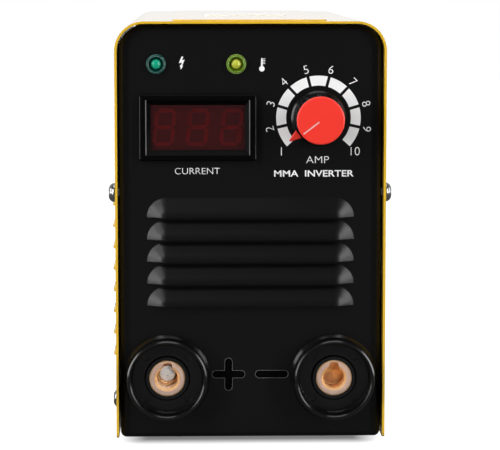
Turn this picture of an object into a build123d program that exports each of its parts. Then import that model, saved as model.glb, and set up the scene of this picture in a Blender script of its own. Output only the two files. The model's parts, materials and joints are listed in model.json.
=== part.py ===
from build123d import *
import math
import os

# Stick welding inverter, in millimetres.
# Frame: origin on the ground below the middle of the machine, +X to the operator's right when facing
# the front panel, +Y from the front panel to the rear panel, +Z up.

os.makedirs("parts", exist_ok=True)

# ---------------------------------------------------------------- driving dimensions

# Casing
COVER_WIDTH = 112.0
COVER_LENGTH = 250.0
COVER_TOP = 177.0
COVER_BOTTOM = 3.5
COVER_RADIUS = 12.2
COVER_SHEET = 1.0
PANEL_SHEET = 1.2
PANEL_RECESS = 4.0  # panel face behind the cover's edge
PANEL_GAP = 0.6  # between the cover's inside and the panel's flange
PANEL_FLANGE = 14.0
PANEL_EDGE_RADIUS = 2.4
PANEL_BOTTOM = 3.0
PANEL_FOOT_RADIUS = 2.5  # lower corners of the panels

FRONT_EDGE = -COVER_LENGTH / 2
REAR_EDGE = COVER_LENGTH / 2
FRONT_FACE = FRONT_EDGE + PANEL_RECESS
REAR_FACE = REAR_EDGE - PANEL_RECESS
FRONT_BACK = FRONT_FACE + PANEL_SHEET  # inner side of the front panel
REAR_BACK = REAR_FACE - PANEL_SHEET  # inner side of the rear panel
PANEL_HALF = COVER_WIDTH / 2 - COVER_SHEET - PANEL_GAP
PANEL_TOP = COVER_TOP - COVER_SHEET - PANEL_GAP

# Embossed field on the cover's top
EMBOSS_WIDTH = 65.0
EMBOSS_FRONT_GAP = 12.0
EMBOSS_HEIGHT = 0.5
EMBOSS_RADIUS = 5.0
LABEL_WIDTH = 37.0
LABEL_LENGTH = 60.0
LABEL_THICK = 0.3
LABEL_Y = 3.5

# Louvers
LOUVER_SHEET = 1.0
LOUVER_CROWN_RADIUS = 6.0
FRONT_LOUVER_LENGTH = 86.0
FRONT_LOUVER_HEIGHT = 8.1
FRONT_LOUVER_RISE = 3.4
FRONT_LOUVER_PITCH = 9.26
FRONT_LOUVER_COUNT = 5
FRONT_LOUVER_LOWEST = 58.9
SIDE_LOUVER_LENGTH = 84.0
SIDE_LOUVER_HEIGHT = 7.6
SIDE_LOUVER_RISE = 2.9
SIDE_LOUVER_PITCH = 9.46
SIDE_LOUVER_COUNT = 8
SIDE_LOUVER_LOWEST = 29.4
SIDE_LOUVER_Y = FRONT_EDGE + 50 + SIDE_LOUVER_LENGTH / 2

# Chassis tray and feet
TRAY_SHEET = 1.2
TRAY_UNDERSIDE = PANEL_BOTTOM + PANEL_SHEET
TRAY_TOP = TRAY_UNDERSIDE + TRAY_SHEET
TRAY_WALL_HEIGHT = 18.0
TRAY_END_GAP = 0.8
TONGUE_HALF = 47.0
RIVET_X = 30.0
RIVET_Y = 113.0
RIVET_RADIUS = 1.6
RIVET_HEAD_RADIUS = 2.9
RIVET_HEAD_THICK = 0.7
RIVET_TAIL_RADIUS = 2.4
RIVET_TAIL_THICK = 1.0
FOOT_RADIUS = 7.0
FOOT_STEM_RADIUS = 2.2
FOOT_X = 40.0
FOOT_Y = 98.0

# Cover screws, M4 pan head
SCREW_RADIUS = 2.0
SCREW_HEAD_RADIUS = 4.0
SCREW_HEAD_HEIGHT = 2.9
SCREW_LENGTH = 8.0
SCREW_UPPER_Z = 105.8
SCREW_UPPER_INSET = 9.5
SCREW_LOWER_Z = 11.0
SCREW_LOWER_INSET = 50.0
CLINCH_NUT_RADIUS = 3.0
CLINCH_NUT_THICK = 2.6
NUT_SEAT_X = PANEL_HALF - PANEL_SHEET

# Digital meter
METER_X = -21.8
METER_Z = 133.25
BEZEL_WIDTH = 48.0
BEZEL_HEIGHT = 27.4
BEZEL_RISE = 2.6
FUNNEL_WIDTH = 43.1
FUNNEL_HEIGHT = 22.8
WINDOW_WIDTH = 39.0
WINDOW_HEIGHT = 18.6
WINDOW_DEPTH = 2.2  # window face behind the bezel's face
WINDOW_THICK = 1.0
METER_BODY_WIDTH = 45.0
METER_BODY_HEIGHT = 25.4
METER_BODY_DEPTH = 18.0
DISPLAY_MARGIN = 0.2  # the display's face inside the window, on each side
DIGIT_HEIGHT = 15.5
DIGIT_WIDTH = 8.9
DIGIT_PITCH = 13.85
DIGIT_SHIFT = 0.1
DIGIT_SLANT = math.radians(6)
SEGMENT_WIDTH = 1.65
SEGMENT_GAP = 0.18
SEGMENT_THICK = 0.2

# Indicator lamps
LAMP_Z = 159.4
POWER_LAMP_X = -38.9
THERMAL_LAMP_X = -5.9
LAMP_RADIUS = 4.1
LAMP_STEP_RADIUS = 3.4
LAMP_FLANGE_RISE = 0.8
LAMP_STEP_RISE = 1.9
LAMP_BARREL_RADIUS = 3.2
LAMP_BARREL_LENGTH = 12.0
LED_RADIUS = 2.5
LED_BODY_LENGTH = 6.2
LED_LEAD_WIDTH = 0.5
LED_LEAD_PITCH = 2.54

# Current knob and potentiometer
KNOB_X = 28.1
KNOB_Z = 137.1
KNOB_LIFT = 0.8  # skirt above the panel's face
SKIRT_RADIUS = 11.4
SKIRT_THICK = 2.4
GRIP_RADIUS = 9.9
GRIP_LENGTH = 13.0
FLUTE_RADIUS = 0.75
FLUTE_COUNT = 24
CAP_RADIUS = 9.75
CAP_THICK = 1.8
POINTER_TIP = 15.2
POINTER_ROOT = 10.4  # on the skirt's flat, just outside the grip
POINTER_WIDTH = 4.0
POINTER_TIP_WIDTH = 0.7
POINTER_THICK = 1.6
KNOB_REST_ANGLE = -127.5  # pointer, clockwise from straight up
SHAFT_RADIUS = 3.0
BUSHING_RADIUS = 4.8
RUNNING_GAP = 0.05
SHAFT_REACH = 14.0  # shaft's end above the panel's face
BUSHING_REACH = 4.6
POT_RADIUS = 12.0
POT_DEPTH = 10.0
CAP_LINE_WIDTH = 0.7
CAP_LINE_DEPTH = 0.4

# Weld output sockets, 9 mm bayonet type
SOCKET_X = 34.8
SOCKET_Z = 28.6
SHELL_RADIUS = 16.7
SHELL_RISE = 9.0
SHELL_RIM = 1.7
SHELL_FLANGE_RADIUS = 18.1
SHELL_FLOOR = 1.8
COLLAR_RADIUS = 9.3
COLLAR_RISE = 2.8
SHELL_NECK_RADIUS = 12.0
SHELL_NECK_LENGTH = 17.0
CONTACT_RADIUS = 7.45
CONTACT_LENGTH = 36.0
CONTACT_RISE = 3.2  # copper's rim above the panel's face
BORE_RADIUS = 4.5
BORE_DEPTH = 13.0
BORE_CONE = 4.7  # drilled end beyond the bore's depth
BORE_CHAMFER = 0.9
KEY_WIDTH = 4.2
KEY_REACH = 6.6
KEY_CORNER = 1.4
LOCK_DEPTH = 9.6
LOCK_WIDTH = 2.8
NUT_ACROSS = 30.0
NUT_THICK = 6.0
BOLT_RADIUS = 4.0
BOLT_CHAMFER = 0.8
BOLT_HEAD_ACROSS = 13.0
BOLT_HEAD_THICK = 5.3
BOLT_WASHER_RADIUS = 7.0
BOLT_WASHER_THICK = 1.2
BOLT_LONG = CONTACT_LENGTH - BORE_DEPTH  # reaches the bore, in the positive socket
BOLT_SHORT = 11.0
BUSBAR_WIDTH = 16.0
BUSBAR_THICK = 2.0
BUSBAR_END = -60.0
POLARITY_Z = 29.8
PLUS_X = -9.2
MINUS_X = 8.9
POLARITY_LENGTH = 13.6
POLARITY_WIDTH = 3.0
POLARITY_DEPTH = 0.7

# Cooling fan, 80 mm
FAN_Z = 60.0
FAN_SIZE = 80.0
FAN_DEPTH = 25.0
FAN_DUCT_RADIUS = 38.0
FAN_HOLE_SPACING = 71.5
FAN_FRONT = REAR_BACK - FAN_DEPTH
FAN_FLANGE = 4.0
HUB_RADIUS = 16.5
HUB_BOTTOM = 4.6
HUB_TOP = 22.0
BEARING_RADIUS = 4.5
FAN_SHAFT_RADIUS = 1.5
BLADE_TIP_RADIUS = 36.8
BLADE_COUNT = 7
BLADE_THICK = 1.3
BLADE_MIDDLE = 13.5
BLADE_ROOT_CHORD = 11.5
BLADE_ROOT_PITCH = 44
BLADE_TIP_CHORD = 21.0
BLADE_TIP_PITCH = 27
GUARD_WIRE = 0.9
GUARD_LEG_LIFT = 1.0

# Power switch on the rear panel
SWITCH_X = -26.0
SWITCH_Z = 139.0
SWITCH_BEZEL_WIDTH = 25.0
SWITCH_BEZEL_HEIGHT = 32.0
SWITCH_BODY_WIDTH = 21.8
SWITCH_BODY_HEIGHT = 29.6
SWITCH_BODY_DEPTH = 26.0
SWITCH_BEZEL_RISE = 2.4
ROCKER_WIDTH = 17.0
ROCKER_RADIUS = 13.4
ROCKER_TILT = 12.0
ROCKER_FACET = 4.6  # centre of the rocker's face above its pivot
ROCKER_PIN_RADIUS = 1.5
SWITCH_CAVITY_DEPTH = 13.0
TERMINAL_PITCH_X = 11.0
TERMINAL_PITCH_Z = 14.0
LEAD_RADIUS = 1.5
ROCKER_PIVOT_Y = REAR_FACE + SWITCH_BEZEL_RISE - ROCKER_FACET

# Cable gland and earth stud on the rear panel
GLAND_X = 28.0
GLAND_Z = 139.0
GLAND_THREAD_RADIUS = 7.6
GLAND_BORE_RADIUS = 5.2
GLAND_SEAL_BORE = 4.0
GLAND_MOUTH_RADIUS = 5.8
GLAND_COLLAR_ACROSS = 19.0
GLAND_COLLAR_THICK = 5.0
GLAND_REACH = 18.0  # dome nut's end above the panel's face
EARTH_X = 38.0
EARTH_Z = 114.0
EARTH_RADIUS = 3.0
EARTH_REACH = 14.0
EARTH_PILOT_RADIUS = 2.75
EARTH_PILOT_START = 6.6

# Control board behind the front panel
CONTROL_BOARD_DEPTH = 24.0  # its front, behind the panel's face
CONTROL_BOARD_WIDTH = 100.0
CONTROL_BOARD_BOTTOM = 110.0
CONTROL_BOARD_TOP = 170.0
PILLAR_X = 46.5
PILLAR_LOW_Z = 114.0
PILLAR_HIGH_Z = 165.0

# Power board and what stands on it
BOARD_HALF_WIDTH = 46.0
BOARD_FRONT = -74.0
BOARD_REAR = 92.0
BOARD_THICK = 1.6
STANDOFF_HEIGHT = 8.0
BOARD_TOP = TRAY_TOP + STANDOFF_HEIGHT + BOARD_THICK
SINK_FRONT = 10.0
SINK_REAR = 84.0
SINK_INNER = 20.0
SINK_OUTER = 50.0
SINK_BASE = 5.0
SINK_HEIGHT = 72.0
FIN_THICK = 1.8
FIN_COUNT = 11
CORE_SIZE = 55.0
CORE_DEPTH = 21.0
CORE_LEG = 17.2
CORE_WINDOW_WIDTH = 10.2
CORE_WINDOW_HEIGHT = 37.0
CORE_Y = -46.0
CAN_RADIUS = 14.8
CAN_HEIGHT = 42.0
CAN_Y = -7.0
CAN_PITCH = 31.0
BRIDGE_Y = 60.0
RELAY_Y = 34.0
BUSBAR_SCREW_Y = -67.0
BUSBAR_SCREW_RADIUS = 2.5
STANDOFF_PLACES = [(x, y) for x in (-43.0, 43.0) for y in (-50.0, 7.0, 88.0)]


# ---------------------------------------------------------------- helpers

# How a cylinder stands on a level: with its foot there, or with its top there
STANDING = (Align.CENTER, Align.CENTER, Align.MIN)
HANGING = (Align.CENTER, Align.CENTER, Align.MAX)


def facing_front(y):
    """Upright plane at Y = y that looks to the front: its x is X, its y is Z, and it points to -Y."""
    return Plane(origin=(0, y, 0), x_dir=(1, 0, 0), z_dir=(0, -1, 0))


def facing_side(x):
    """Upright plane at X = x: its x is Y, its y is Z, and it points to +X."""
    return Plane(origin=(x, 0, 0), x_dir=(0, 1, 0), z_dir=(1, 0, 0))


def facing_rear(y):
    """Upright plane at Y = y that looks to the rear: its x is -X, its y is Z, and it points to +Y."""
    return Plane(origin=(0, y, 0), x_dir=(-1, 0, 0), z_dir=(0, 1, 0))


def save(piece, name):
    """Labels a finished piece and writes its STEP file."""
    piece.part.label = name
    export_step(piece.part, f"parts/{name}.step")


def hood(length, height, rise, inset, floor):
    """The form of a pressed louver, shrunk by inset and cut off at floor.

    Local X runs along the lip, Y from the lip to the top, Z out of the sheet. A straight ramp runs up
    into a round crown, and each end is the same profile turned through a quarter.
    """
    crown_centre = rise - LOUVER_CROWN_RADIUS
    slope = math.asin(LOUVER_CROWN_RADIUS / math.hypot(height, crown_centre))
    slope += math.atan2(crown_centre, height)
    radius = LOUVER_CROWN_RADIUS - inset
    crown = (0, crown_centre + radius)
    between = (radius * math.sin(slope / 2), crown_centre + radius * math.cos(slope / 2))
    ramp_top = (radius * math.sin(slope), crown_centre + radius * math.cos(slope))
    ramp_foot = (height - inset / math.sin(slope) - floor / math.tan(slope), floor)
    middle = length / 2 - height
    with BuildPart() as form:
        with BuildSketch(Plane.YZ) as profile:
            with BuildLine():
                ThreePointArc(crown, between, ramp_top)
                Polyline(ramp_top, ramp_foot, (0, floor), crown)
            make_face()
        extrude(amount=middle, both=True)
        for end in (middle, -middle):
            add(profile.sketch.moved(Location((end, 0, 0))))
            revolve(axis=Axis((end, 0, 0), (0, 0, -end)), revolution_arc=90)
    return form.part


def pressed_pan(plane):
    """End panel of the casing: a sheet with its edges bent back all around, open at the back."""
    height = PANEL_TOP - PANEL_BOTTOM
    with BuildPart() as pan:
        with BuildSketch(plane):
            with Locations((0, PANEL_BOTTOM + height / 2)):
                Rectangle(2 * PANEL_HALF, height)
            fillet(vertices().group_by(Axis.Y)[-1], radius=COVER_RADIUS - COVER_SHEET - PANEL_GAP)
            fillet(vertices().group_by(Axis.Y)[0], radius=PANEL_FOOT_RADIUS)
        extrude(amount=-PANEL_FLANGE)
        outward = Axis(plane.origin, plane.z_dir)
        fillet(faces().sort_by(outward)[-1].edges(), radius=PANEL_EDGE_RADIUS)
        offset(amount=-PANEL_SHEET, openings=faces().sort_by(outward)[0])
    return pan.part


# ---------------------------------------------------------------- casing

louver = (SIDE_LOUVER_LENGTH, SIDE_LOUVER_HEIGHT, SIDE_LOUVER_RISE)
side_hood = hood(*louver, 0, 0)
side_hollow = hood(*louver, LOUVER_SHEET, -COVER_SHEET)
cover_section = facing_front(FRONT_EDGE)
with BuildPart() as top_cover:
    with BuildSketch(cover_section):
        with Locations((0, (COVER_TOP + COVER_BOTTOM) / 2)):
            Rectangle(COVER_WIDTH, COVER_TOP - COVER_BOTTOM)
        fillet(vertices().group_by(Axis.Y)[-1], radius=COVER_RADIUS)
    extrude(amount=-COVER_LENGTH)
    with BuildSketch(cover_section):
        with Locations((0, (COVER_TOP + COVER_BOTTOM) / 2 - COVER_SHEET)):
            Rectangle(COVER_WIDTH - 2 * COVER_SHEET, COVER_TOP - COVER_BOTTOM)
        fillet(vertices().group_by(Axis.Y)[-1], radius=COVER_RADIUS - COVER_SHEET)
    extrude(amount=-COVER_LENGTH, mode=Mode.SUBTRACT)
    fillet(edges().filter_by(Axis.X).group_by(Axis.Z)[0], radius=2.0)
    # embossed field on the top
    with BuildSketch(Plane.XY.offset(COVER_TOP)):
        RectangleRounded(EMBOSS_WIDTH, COVER_LENGTH - 2 * EMBOSS_FRONT_GAP, EMBOSS_RADIUS)
    extrude(amount=EMBOSS_HEIGHT, taper=30)
    with BuildSketch(Plane.XY.offset(COVER_TOP - COVER_SHEET)):
        RectangleRounded(
            EMBOSS_WIDTH - 2 * COVER_SHEET,
            COVER_LENGTH - 2 * EMBOSS_FRONT_GAP - 2 * COVER_SHEET,
            EMBOSS_RADIUS - COVER_SHEET,
        )
    extrude(amount=EMBOSS_HEIGHT, mode=Mode.SUBTRACT)
    # louvers on both sides, their mouths down
    for side in (1, -1):
        for step in range(SIDE_LOUVER_COUNT):
            lip_z = SIDE_LOUVER_LOWEST + SIDE_LOUVER_PITCH * step
            seat = Plane(
                origin=(side * COVER_WIDTH / 2, SIDE_LOUVER_Y, lip_z),
                x_dir=(0, side, 0),
                z_dir=(side, 0, 0),
            )
            with Locations(seat):
                add(side_hood)
                add(side_hollow, mode=Mode.SUBTRACT)
    # screw holes
    with BuildSketch(Plane.YZ):
        with Locations(
            (FRONT_EDGE + SCREW_UPPER_INSET, SCREW_UPPER_Z),
            (REAR_EDGE - SCREW_UPPER_INSET, SCREW_UPPER_Z),
            (FRONT_EDGE + SCREW_LOWER_INSET, SCREW_LOWER_Z),
            (REAR_EDGE - SCREW_LOWER_INSET, SCREW_LOWER_Z),
        ):
            Circle(SCREW_RADIUS + 0.2)
    extrude(amount=COVER_WIDTH, both=True, mode=Mode.SUBTRACT)
save(top_cover, "top_cover")

with BuildPart() as top_label:
    with BuildSketch(Plane.XY.offset(COVER_TOP + EMBOSS_HEIGHT)):
        with Locations((0, LABEL_Y)):
            RectangleRounded(LABEL_WIDTH, LABEL_LENGTH, 2.0)
    extrude(amount=LABEL_THICK)
save(top_label, "top_label")

louver = (FRONT_LOUVER_LENGTH, FRONT_LOUVER_HEIGHT, FRONT_LOUVER_RISE)
front_hood = hood(*louver, 0, 0)
front_hollow = hood(*louver, LOUVER_SHEET, -PANEL_SHEET)
front_plane = facing_front(FRONT_FACE)
front_pan = pressed_pan(front_plane)
with BuildPart() as front_panel:
    add(front_pan)
    # louvers, their mouths down
    for step in range(FRONT_LOUVER_COUNT):
        seat = Plane(
            origin=(0, FRONT_FACE, FRONT_LOUVER_LOWEST + FRONT_LOUVER_PITCH * step),
            x_dir=(1, 0, 0),
            z_dir=(0, -1, 0),
        )
        with Locations(seat):
            add(front_hood)
            add(front_hollow, mode=Mode.SUBTRACT)
    # openings for the meter, the lamps, the knob's shaft and the sockets
    with BuildSketch(front_plane):
        with Locations((METER_X, METER_Z)):
            Rectangle(METER_BODY_WIDTH, METER_BODY_HEIGHT)
        with Locations((POWER_LAMP_X, LAMP_Z), (THERMAL_LAMP_X, LAMP_Z)):
            Circle(LAMP_BARREL_RADIUS)
        with Locations((KNOB_X, KNOB_Z)):
            Circle(BUSHING_RADIUS)
        with Locations((-SOCKET_X, SOCKET_Z), (SOCKET_X, SOCKET_Z)):
            Circle(SHELL_NECK_RADIUS)
    extrude(amount=-2 * PANEL_SHEET, mode=Mode.SUBTRACT)
    # polarity signs, pressed in
    with BuildSketch(front_plane):
        with Locations((PLUS_X, POLARITY_Z), (MINUS_X, POLARITY_Z)):
            SlotOverall(POLARITY_LENGTH, POLARITY_WIDTH)
        with Locations((PLUS_X, POLARITY_Z)):
            SlotOverall(POLARITY_LENGTH, POLARITY_WIDTH, rotation=90)
    extrude(amount=-POLARITY_DEPTH, mode=Mode.SUBTRACT)
    # side screw holes and the rivet holes in the bottom flange
    with BuildSketch(Plane.YZ):
        with Locations((FRONT_EDGE + SCREW_UPPER_INSET, SCREW_UPPER_Z)):
            Circle(SCREW_RADIUS + 0.2)
    extrude(amount=COVER_WIDTH, both=True, mode=Mode.SUBTRACT)
    with BuildSketch(Plane.XY):
        with Locations((RIVET_X, -RIVET_Y), (-RIVET_X, -RIVET_Y)):
            Circle(RIVET_RADIUS)
    extrude(amount=TRAY_TOP, mode=Mode.SUBTRACT)
save(front_panel, "front_panel")

rear_plane = facing_rear(REAR_FACE)
rear_pan = pressed_pan(rear_plane)
with BuildPart() as rear_panel:
    add(rear_pan)
    with BuildSketch(rear_plane):
        with Locations((0, FAN_Z)):
            Circle(FAN_DUCT_RADIUS)
            with GridLocations(FAN_HOLE_SPACING, FAN_HOLE_SPACING, 2, 2):
                Circle(SCREW_RADIUS + 0.2)
        with Locations((-SWITCH_X, SWITCH_Z)):
            Rectangle(SWITCH_BODY_WIDTH, SWITCH_BODY_HEIGHT)
        with Locations((-GLAND_X, GLAND_Z)):
            Circle(GLAND_THREAD_RADIUS)
        with Locations((-EARTH_X, EARTH_Z)):
            Circle(EARTH_RADIUS)
    extrude(amount=-2 * PANEL_SHEET, mode=Mode.SUBTRACT)
    with BuildSketch(Plane.YZ):
        with Locations((REAR_EDGE - SCREW_UPPER_INSET, SCREW_UPPER_Z)):
            Circle(SCREW_RADIUS + 0.2)
    extrude(amount=COVER_WIDTH, both=True, mode=Mode.SUBTRACT)
    with BuildSketch(Plane.XY):
        with Locations((RIVET_X, RIVET_Y), (-RIVET_X, RIVET_Y)):
            Circle(RIVET_RADIUS)
    extrude(amount=TRAY_TOP, mode=Mode.SUBTRACT)
save(rear_panel, "rear_panel")

TRAY_HALF = REAR_FACE - PANEL_FLANGE - TRAY_END_GAP
with BuildPart() as base_tray:
    with BuildSketch(Plane.XY.offset(TRAY_UNDERSIDE)):
        Rectangle(2 * PANEL_HALF, 2 * TRAY_HALF)
        Rectangle(2 * TONGUE_HALF, 2 * (REAR_BACK - 2 * TRAY_END_GAP))
    extrude(amount=TRAY_SHEET)
    with BuildSketch(Plane.XY.offset(TRAY_UNDERSIDE)):
        for side in (1, -1):
            with Locations((side * (PANEL_HALF - TRAY_SHEET / 2), 0)):
                Rectangle(TRAY_SHEET, 2 * TRAY_HALF)
    extrude(amount=TRAY_WALL_HEIGHT)
    fillet(edges().filter_by(Axis.Y).filter_by_position(Axis.Z, TRAY_UNDERSIDE, TRAY_UNDERSIDE), radius=1.0)
    with BuildSketch(Plane.XY.offset(TRAY_UNDERSIDE)):
        with GridLocations(2 * FOOT_X, 2 * FOOT_Y, 2, 2):
            Circle(FOOT_STEM_RADIUS)
        with GridLocations(2 * RIVET_X, 2 * RIVET_Y, 2, 2):
            Circle(RIVET_RADIUS)
        with Locations(*STANDOFF_PLACES):
            Circle(1.6)
    extrude(amount=TRAY_SHEET, mode=Mode.SUBTRACT)
    with BuildSketch(Plane.YZ):
        with Locations(
            (FRONT_EDGE + SCREW_LOWER_INSET, SCREW_LOWER_Z),
            (REAR_EDGE - SCREW_LOWER_INSET, SCREW_LOWER_Z),
        ):
            Circle(SCREW_RADIUS + 0.2)
    extrude(amount=COVER_WIDTH, both=True, mode=Mode.SUBTRACT)
save(base_tray, "base_tray")

with BuildPart() as rubber_feet:
    with BuildSketch(Plane.XZ) as foot_profile:
        with BuildLine():
            Polyline(
                (0, 0),
                (FOOT_RADIUS - 0.8, 0),
                (FOOT_RADIUS, 0.8),
                (FOOT_RADIUS, TRAY_UNDERSIDE - 0.5),
                (FOOT_RADIUS - 0.5, TRAY_UNDERSIDE),
                (FOOT_STEM_RADIUS, TRAY_UNDERSIDE),
                (FOOT_STEM_RADIUS, TRAY_TOP),
                (FOOT_STEM_RADIUS + 0.9, TRAY_TOP),
                (FOOT_STEM_RADIUS + 0.9, TRAY_TOP + 0.6),
                (1.2, TRAY_TOP + 3.0),
                (0, TRAY_TOP + 3.0),
                close=True,
            )
        make_face()
    foot = revolve(axis=Axis.Z, mode=Mode.PRIVATE)
    with GridLocations(2 * FOOT_X, 2 * FOOT_Y, 2, 2):
        add(foot)
save(rubber_feet, "rubber_feet")

with BuildPart() as panel_rivets:
    for x in (RIVET_X, -RIVET_X):
        for y in (RIVET_Y, -RIVET_Y):
            with Locations((x, y, PANEL_BOTTOM)):
                Cylinder(RIVET_RADIUS, TRAY_TOP - PANEL_BOTTOM, align=STANDING)
                Cylinder(RIVET_HEAD_RADIUS, RIVET_HEAD_THICK, align=HANGING)
            with Locations((x, y, TRAY_TOP)):
                Cylinder(RIVET_TAIL_RADIUS, RIVET_TAIL_THICK, align=STANDING)
save(panel_rivets, "panel_rivets")

# pan head screw along +Z, its head's underside at Z = 0
with BuildPart() as pan_screw:
    with BuildSketch(Plane.XZ):
        with BuildLine():
            Line((0, -SCREW_LENGTH), (SCREW_RADIUS - 0.4, -SCREW_LENGTH))
            Line((SCREW_RADIUS - 0.4, -SCREW_LENGTH), (SCREW_RADIUS, -SCREW_LENGTH + 0.4))
            Line((SCREW_RADIUS, -SCREW_LENGTH + 0.4), (SCREW_RADIUS, 0))
            Line((SCREW_RADIUS, 0), (SCREW_HEAD_RADIUS, 0))
            Line((SCREW_HEAD_RADIUS, 0), (SCREW_HEAD_RADIUS, 0.9))
            ThreePointArc(
                (SCREW_HEAD_RADIUS, 0.9),
                (SCREW_HEAD_RADIUS * 0.82, SCREW_HEAD_HEIGHT * 0.76),
                (SCREW_HEAD_RADIUS * 0.4, SCREW_HEAD_HEIGHT),
            )
            Line((SCREW_HEAD_RADIUS * 0.4, SCREW_HEAD_HEIGHT), (0, SCREW_HEAD_HEIGHT))
            Line((0, SCREW_HEAD_HEIGHT), (0, -SCREW_LENGTH))
        make_face()
    revolve(axis=Axis.Z)
    with BuildSketch(Plane.XY.offset(SCREW_HEAD_HEIGHT - 1.5)):
        Rectangle(4.4, 0.9)
        Rectangle(0.9, 4.4)
    extrude(amount=1.5, taper=-8, mode=Mode.SUBTRACT)

SIDE_SCREWS = [
    (FRONT_EDGE + SCREW_UPPER_INSET, SCREW_UPPER_Z),
    (REAR_EDGE - SCREW_UPPER_INSET, SCREW_UPPER_Z),
    (FRONT_EDGE + SCREW_LOWER_INSET, SCREW_LOWER_Z),
    (REAR_EDGE - SCREW_LOWER_INSET, SCREW_LOWER_Z),
]
with BuildPart() as cover_screws:
    for side in (1, -1):
        for y, z in SIDE_SCREWS:
            seat = Plane(origin=(side * COVER_WIDTH / 2, y, z), x_dir=(0, 1, 0), z_dir=(side, 0, 0))
            with Locations(seat):
                add(pan_screw.part)
save(cover_screws, "cover_screws")

# clinch nuts pressed into the flanges and the tray's walls
with BuildPart() as clinch_nuts:
    for side in (1, -1):
        for y, z in SIDE_SCREWS:
            seat = Plane(origin=(side * NUT_SEAT_X, y, z), x_dir=(0, 1, 0), z_dir=(-side, 0, 0))
            with Locations(seat):
                Cylinder(CLINCH_NUT_RADIUS, CLINCH_NUT_THICK, align=STANDING)
                Cylinder(SCREW_RADIUS, CLINCH_NUT_THICK, align=STANDING, mode=Mode.SUBTRACT)
save(clinch_nuts, "clinch_nuts")

# ---------------------------------------------------------------- digital meter

BEZEL_FACE = FRONT_FACE - BEZEL_RISE
WINDOW_FACE = BEZEL_FACE + WINDOW_DEPTH
meter_plane = Plane(origin=(METER_X, BEZEL_FACE, METER_Z), x_dir=(1, 0, 0), z_dir=(0, -1, 0))
with BuildPart() as meter_housing:
    with BuildSketch(meter_plane):
        RectangleRounded(BEZEL_WIDTH, BEZEL_HEIGHT, 0.8)
    extrude(amount=-BEZEL_RISE)
    chamfer(faces().sort_by(Axis.Y)[0].edges(), length=0.5)
    with BuildSketch(meter_plane.offset(-BEZEL_RISE)):
        Rectangle(METER_BODY_WIDTH, METER_BODY_HEIGHT)
    extrude(amount=-METER_BODY_DEPTH)
    # sloped surround down to the window
    with BuildSketch(meter_plane):
        Rectangle(FUNNEL_WIDTH, FUNNEL_HEIGHT)
    with BuildSketch(meter_plane.offset(-WINDOW_DEPTH)):
        Rectangle(WINDOW_WIDTH, WINDOW_HEIGHT)
    loft(mode=Mode.SUBTRACT)
    with BuildSketch(meter_plane.offset(-WINDOW_DEPTH)):
        Rectangle(WINDOW_WIDTH, WINDOW_HEIGHT)
    extrude(amount=-METER_BODY_DEPTH, mode=Mode.SUBTRACT)
    with BuildSketch(meter_plane.offset(-WINDOW_DEPTH - WINDOW_THICK - 0.6)):
        Rectangle(METER_BODY_WIDTH - 3.0, METER_BODY_HEIGHT - 3.0)
    extrude(amount=-METER_BODY_DEPTH, mode=Mode.SUBTRACT)
save(meter_housing, "meter_housing")

with BuildPart() as meter_window:
    with BuildSketch(meter_plane.offset(-WINDOW_DEPTH)):
        Rectangle(WINDOW_WIDTH, WINDOW_HEIGHT)
    extrude(amount=-WINDOW_THICK)
save(meter_window, "meter_window")

DISPLAY_FACE = WINDOW_DEPTH + WINDOW_THICK + 0.8
with BuildPart() as display_module:
    with BuildSketch(meter_plane.offset(-DISPLAY_FACE)):
        Rectangle(WINDOW_WIDTH - 2 * DISPLAY_MARGIN, WINDOW_HEIGHT - 2 * DISPLAY_MARGIN)
    extrude(amount=-8.0)
    # its circuit board, with a plug strip behind it
    with BuildSketch(meter_plane.offset(-DISPLAY_FACE - 8.0)):
        Rectangle(METER_BODY_WIDTH - 3.2, METER_BODY_HEIGHT - 3.2)
    extrude(amount=-1.6)
    with BuildSketch(meter_plane.offset(-DISPLAY_FACE - 9.6)):
        Rectangle(16.0, 6.0)
    extrude(amount=-5.0)
save(display_module, "display_module")

# segments of one digit, as the ends of their centre lines: (x, height), before the slant
half_w = (DIGIT_WIDTH - SEGMENT_WIDTH) / 2
half_h = (DIGIT_HEIGHT - SEGMENT_WIDTH) / 2
SEGMENTS = [
    ((-half_w, half_h), (half_w, half_h)),
    ((-half_w, 0), (half_w, 0)),
    ((-half_w, -half_h), (half_w, -half_h)),
    ((-half_w, 0), (-half_w, half_h)),
    ((half_w, 0), (half_w, half_h)),
    ((-half_w, -half_h), (-half_w, 0)),
    ((half_w, -half_h), (half_w, 0)),
]


def segment_outline(start, end, shift):
    """Six corners of one lens-ended segment, leaning with the digit."""
    (x0, z0), (x1, z1) = start, end
    long = math.hypot(x1 - x0, z1 - z0)
    ux, uz = (x1 - x0) / long, (z1 - z0) / long
    half = SEGMENT_WIDTH / 2
    first, last = SEGMENT_GAP, long - SEGMENT_GAP
    near, far = first + half, last - half
    marks = [(first, 0), (near, half), (far, half), (last, 0), (far, -half), (near, -half)]
    corners = [(x0 + ux * a - uz * b, z0 + uz * a + ux * b) for a, b in marks]
    return [(shift + x + z * math.tan(DIGIT_SLANT), z) for x, z in corners]


with BuildPart() as digit_segments:
    with BuildSketch(meter_plane.offset(-DISPLAY_FACE)):
        for digit in (-1, 0, 1):
            for start, end in SEGMENTS:
                with BuildLine():
                    Polyline(*segment_outline(start, end, digit * DIGIT_PITCH + DIGIT_SHIFT), close=True)
                make_face()
    extrude(amount=SEGMENT_THICK)
save(digit_segments, "digit_segments")

# ---------------------------------------------------------------- indicator lamps

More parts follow.
